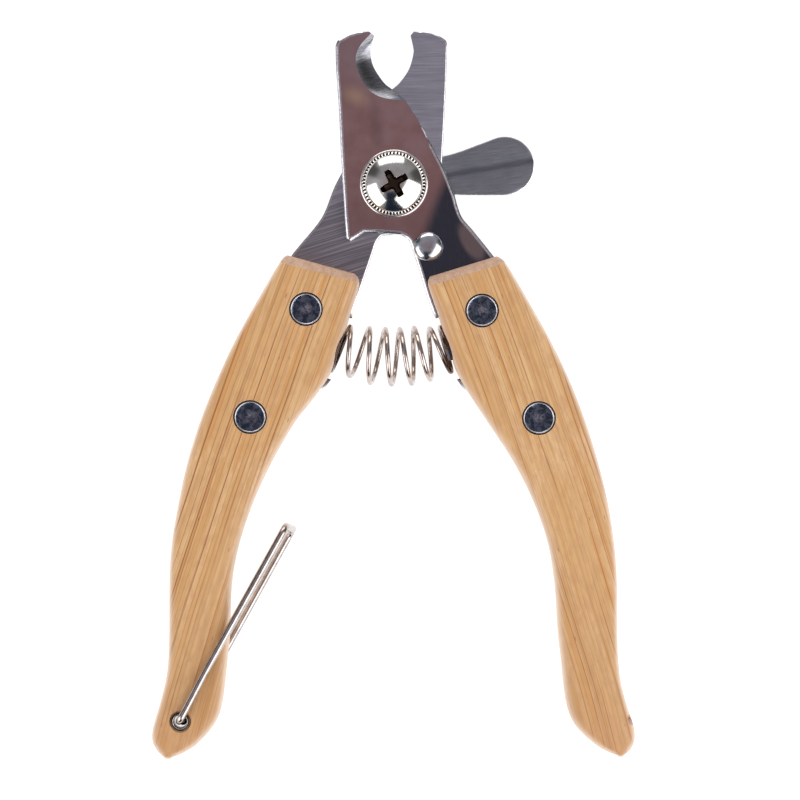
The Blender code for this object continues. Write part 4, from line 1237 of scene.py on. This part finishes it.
def lean_of(u, w, top_lean, low_lean):
    """The loop crosses from one leg's lean to the other's along its far end."""
    f = step(-4.0, 4.0, w)
    return (low_lean + (top_lean - low_lean) * f) * (0.5 + 0.5 * step(2.0, 12.0, u))


points = ([(u, w) for u, w in half_path] + [(u, -w) for u, w in half_path[::-1]])
path = [Vector((*EYELET, HANDLE_MID_Z)) + along * u + left * lean_of(u, w, *BAIL_LEAN)
        + Vector((0, 0, w)) for u, w in points]
bm, _ = sweep(path, BAIL_R, 28)
bail = to_object("latch_bail_wire", bm, [BAIL_WIRE])
place(bail, "latch", ["latch_bail"], 50)

top, bottom = HANDLE_MID_Z + TAIL_HALF, HANDLE_MID_Z - TAIL_HALF
run = [(1.35, top - 0.25)]
run += [(1.35 + 0.3 - 0.3 * math.cos(t), top - 0.25 + 0.2 * math.sin(t))
        for t in (math.pi / 2 * k / 4 for k in range(1, 5))]
run += [(1.80, top - 0.07), (1.92, top - 0.14), (1.95, top - 0.24), (1.93, top - 0.35),
        (1.55, top - 0.35), (1.55, bottom + 0.35), (1.93, bottom + 0.35), (1.95, bottom + 0.24),
        (1.92, bottom + 0.14), (1.80, bottom + 0.07)]
run += [(1.35 + 0.3 - 0.3 * math.cos(t), bottom + 0.25 - 0.2 * math.sin(t))
        for t in (math.pi / 2 * k / 4 for k in range(4, 0, -1))]
run += [(1.35, bottom + 0.25)]
eyelet = to_object("bail_eyelet_ring", turned(EYELET, run, 56), [EYELET_METAL])
place(eyelet, "frame", ["bail_eyelet"], 40)

# ---------------------------------------------------------------- floor, light and camera
bm = bmesh.new()
verts = [bm.verts.new((x, y, 0.0)) for x, y in ((-3, -3), (3, -3), (3, 3), (-3, 3))]
bm.faces.new(verts)
mesh = bpy.data.meshes.new("floor")
bm.to_mesh(mesh)
bm.free()
floor = bpy.data.objects.new("floor", mesh)
bpy.context.scene.collection.objects.link(floor)
floor.location = (0, -0.045, -0.0003)
m = bpy.data.materials.new("floor_white")
m.use_nodes = True
g = Nodes(m.node_tree)
tc = g.new("ShaderNodeTexCoord")
xyz = g.new("ShaderNodeSeparateXYZ", {0: tc.outputs["Object"]}).outputs
dist = g.math("SQRT", g.add(g.mul(xyz[0], xyz[0]), g.mul(xyz[1], xyz[1])))
# The floor glows as a light table, brighter in the middle; ambient occlusion dims its glow as a painted
# shadow under and round the object
under = g.new("ShaderNodeAmbientOcclusion", {"Distance": 0.012}, samples=8)
glow = g.new("ShaderNodeEmission", {"Color": (1.0, 1.0, 1.0, 1.0), "Strength": g.mul(
    g.span(dist, 0.15, 0.75, 0.92, 0.34), g.span(under.outputs["AO"], 0.0, 0.25))})
matt = g.new("ShaderNodeBsdfDiffuse", {"Color": (0.30, 0.30, 0.30, 1.0)})
both = g.new("ShaderNodeAddShader", {0: glow.outputs[0], 1: matt.outputs[0]})
g.new("ShaderNodeOutputMaterial", {"Surface": both.outputs[0]})
mesh.materials.append(m)


def panel(name, azimuth, elevation, distance, width, height, radiance, colour=(1, 1, 1)):
    """A soft light facing the object. Azimuth is anticlockwise from +X."""
    light = bpy.data.lights.new(name, "AREA")
    light.shape = "RECTANGLE"
    light.size, light.size_y = width, height
    light.energy = radiance * math.pi * width * height
    light.color = colour
    obj = bpy.data.objects.new(name, light)
    bpy.context.scene.collection.objects.link(obj)
    a, e = math.radians(azimuth), math.radians(elevation)
    back = Vector((math.cos(a) * math.cos(e), math.sin(a) * math.cos(e), math.sin(e)))
    obj.location = Vector((0, -0.03, 0.01)) + back * distance
    obj.rotation_mode = "QUATERNION"
    obj.rotation_quaternion = back.to_track_quat("Z", "Y")
    obj.visible_camera = False
    return obj


panel("light_top", 97, 20, 0.75, 0.74, 0.38, 2.3)
panel("light_right", -33, 40, 0.75, 0.92, 0.74, 2.05)
panel("light_left", 209, 30, 0.75, 0.70, 0.54, 2.15)

world = bpy.data.worlds.new("studio")
bpy.context.scene.world = world
world.use_nodes = True
g = Nodes(world.node_tree)
tc = g.new("ShaderNodeTexCoord")
xyz = g.new("ShaderNodeSeparateXYZ", {0: tc.outputs["Generated"]}).outputs
sky = g.ramp(xyz[2], [(0.0, (0.17, 0.15, 0.14, 1)), (0.30, (0.24, 0.23, 0.23, 1)),
                      (0.70, (0.34, 0.34, 0.37, 1)), (0.90, (0.33, 0.31, 0.345, 1)),
                      (0.965, (0.31, 0.25, 0.26, 1)), (1.0, (0.29, 0.228, 0.232, 1))])
flat = g.new("ShaderNodeVectorMath", {0: g.vec(xyz[0], xyz[1], 0.0)}, operation="NORMALIZE")
for deg, width in ((148, 12), (20, 15)):
    toward = g.new("ShaderNodeVectorMath", {0: flat.outputs[0], 1: (
        math.cos(math.radians(deg)), math.sin(math.radians(deg)), 0)}, operation="DOT_PRODUCT")
    inside = g.mul(g.span(toward.outputs["Value"], math.cos(math.radians(width + 6)),
                          math.cos(math.radians(width - 6))), g.span(xyz[2], 0.85, 0.55))
    sky = g.mix(g.mul(inside, 0.8), sky, (0.035, 0.034, 0.034, 1))
toward = g.new("ShaderNodeVectorMath", {0: flat.outputs[0], 1: (
    math.cos(math.radians(176)), math.sin(math.radians(176)), 0)}, operation="DOT_PRODUCT")
inside = g.mul(g.span(toward.outputs["Value"], math.cos(math.radians(16)),
                      math.cos(math.radians(8))), g.span(xyz[2], 0.92, 0.75))
sky = g.mix(g.mul(inside, 0.8), sky, (0.45, 0.435, 0.48, 1))
# A darker gap between the two lights at the near side
gap = g.mul(g.span(xyz[1], -0.22, -0.42), g.span(g.math("ABSOLUTE", xyz[0]), 0.42, 0.26))
sky = g.mix(gap, sky, (0.010, 0.018, 0.035, 1))
bg = g.new("ShaderNodeBackground", {"Color": sky, "Strength": 1.0})
g.new("ShaderNodeOutputWorld", {"Surface": bg.outputs[0]})

cam_data = bpy.data.cameras.new("camera")
cam_data.sensor_width = 36.0
cam_data.lens = 436.2
cam_data.clip_start, cam_data.clip_end = 0.05, 20.0
camera = bpy.data.objects.new("camera", cam_data)
bpy.context.scene.collection.objects.link(camera)
camera.location = (0.00124, -0.0446, 2.0075)
bpy.context.scene.camera = camera
bpy.context.scene.view_settings.view_transform = "Standard"
bpy.context.scene.view_settings.look = "None"
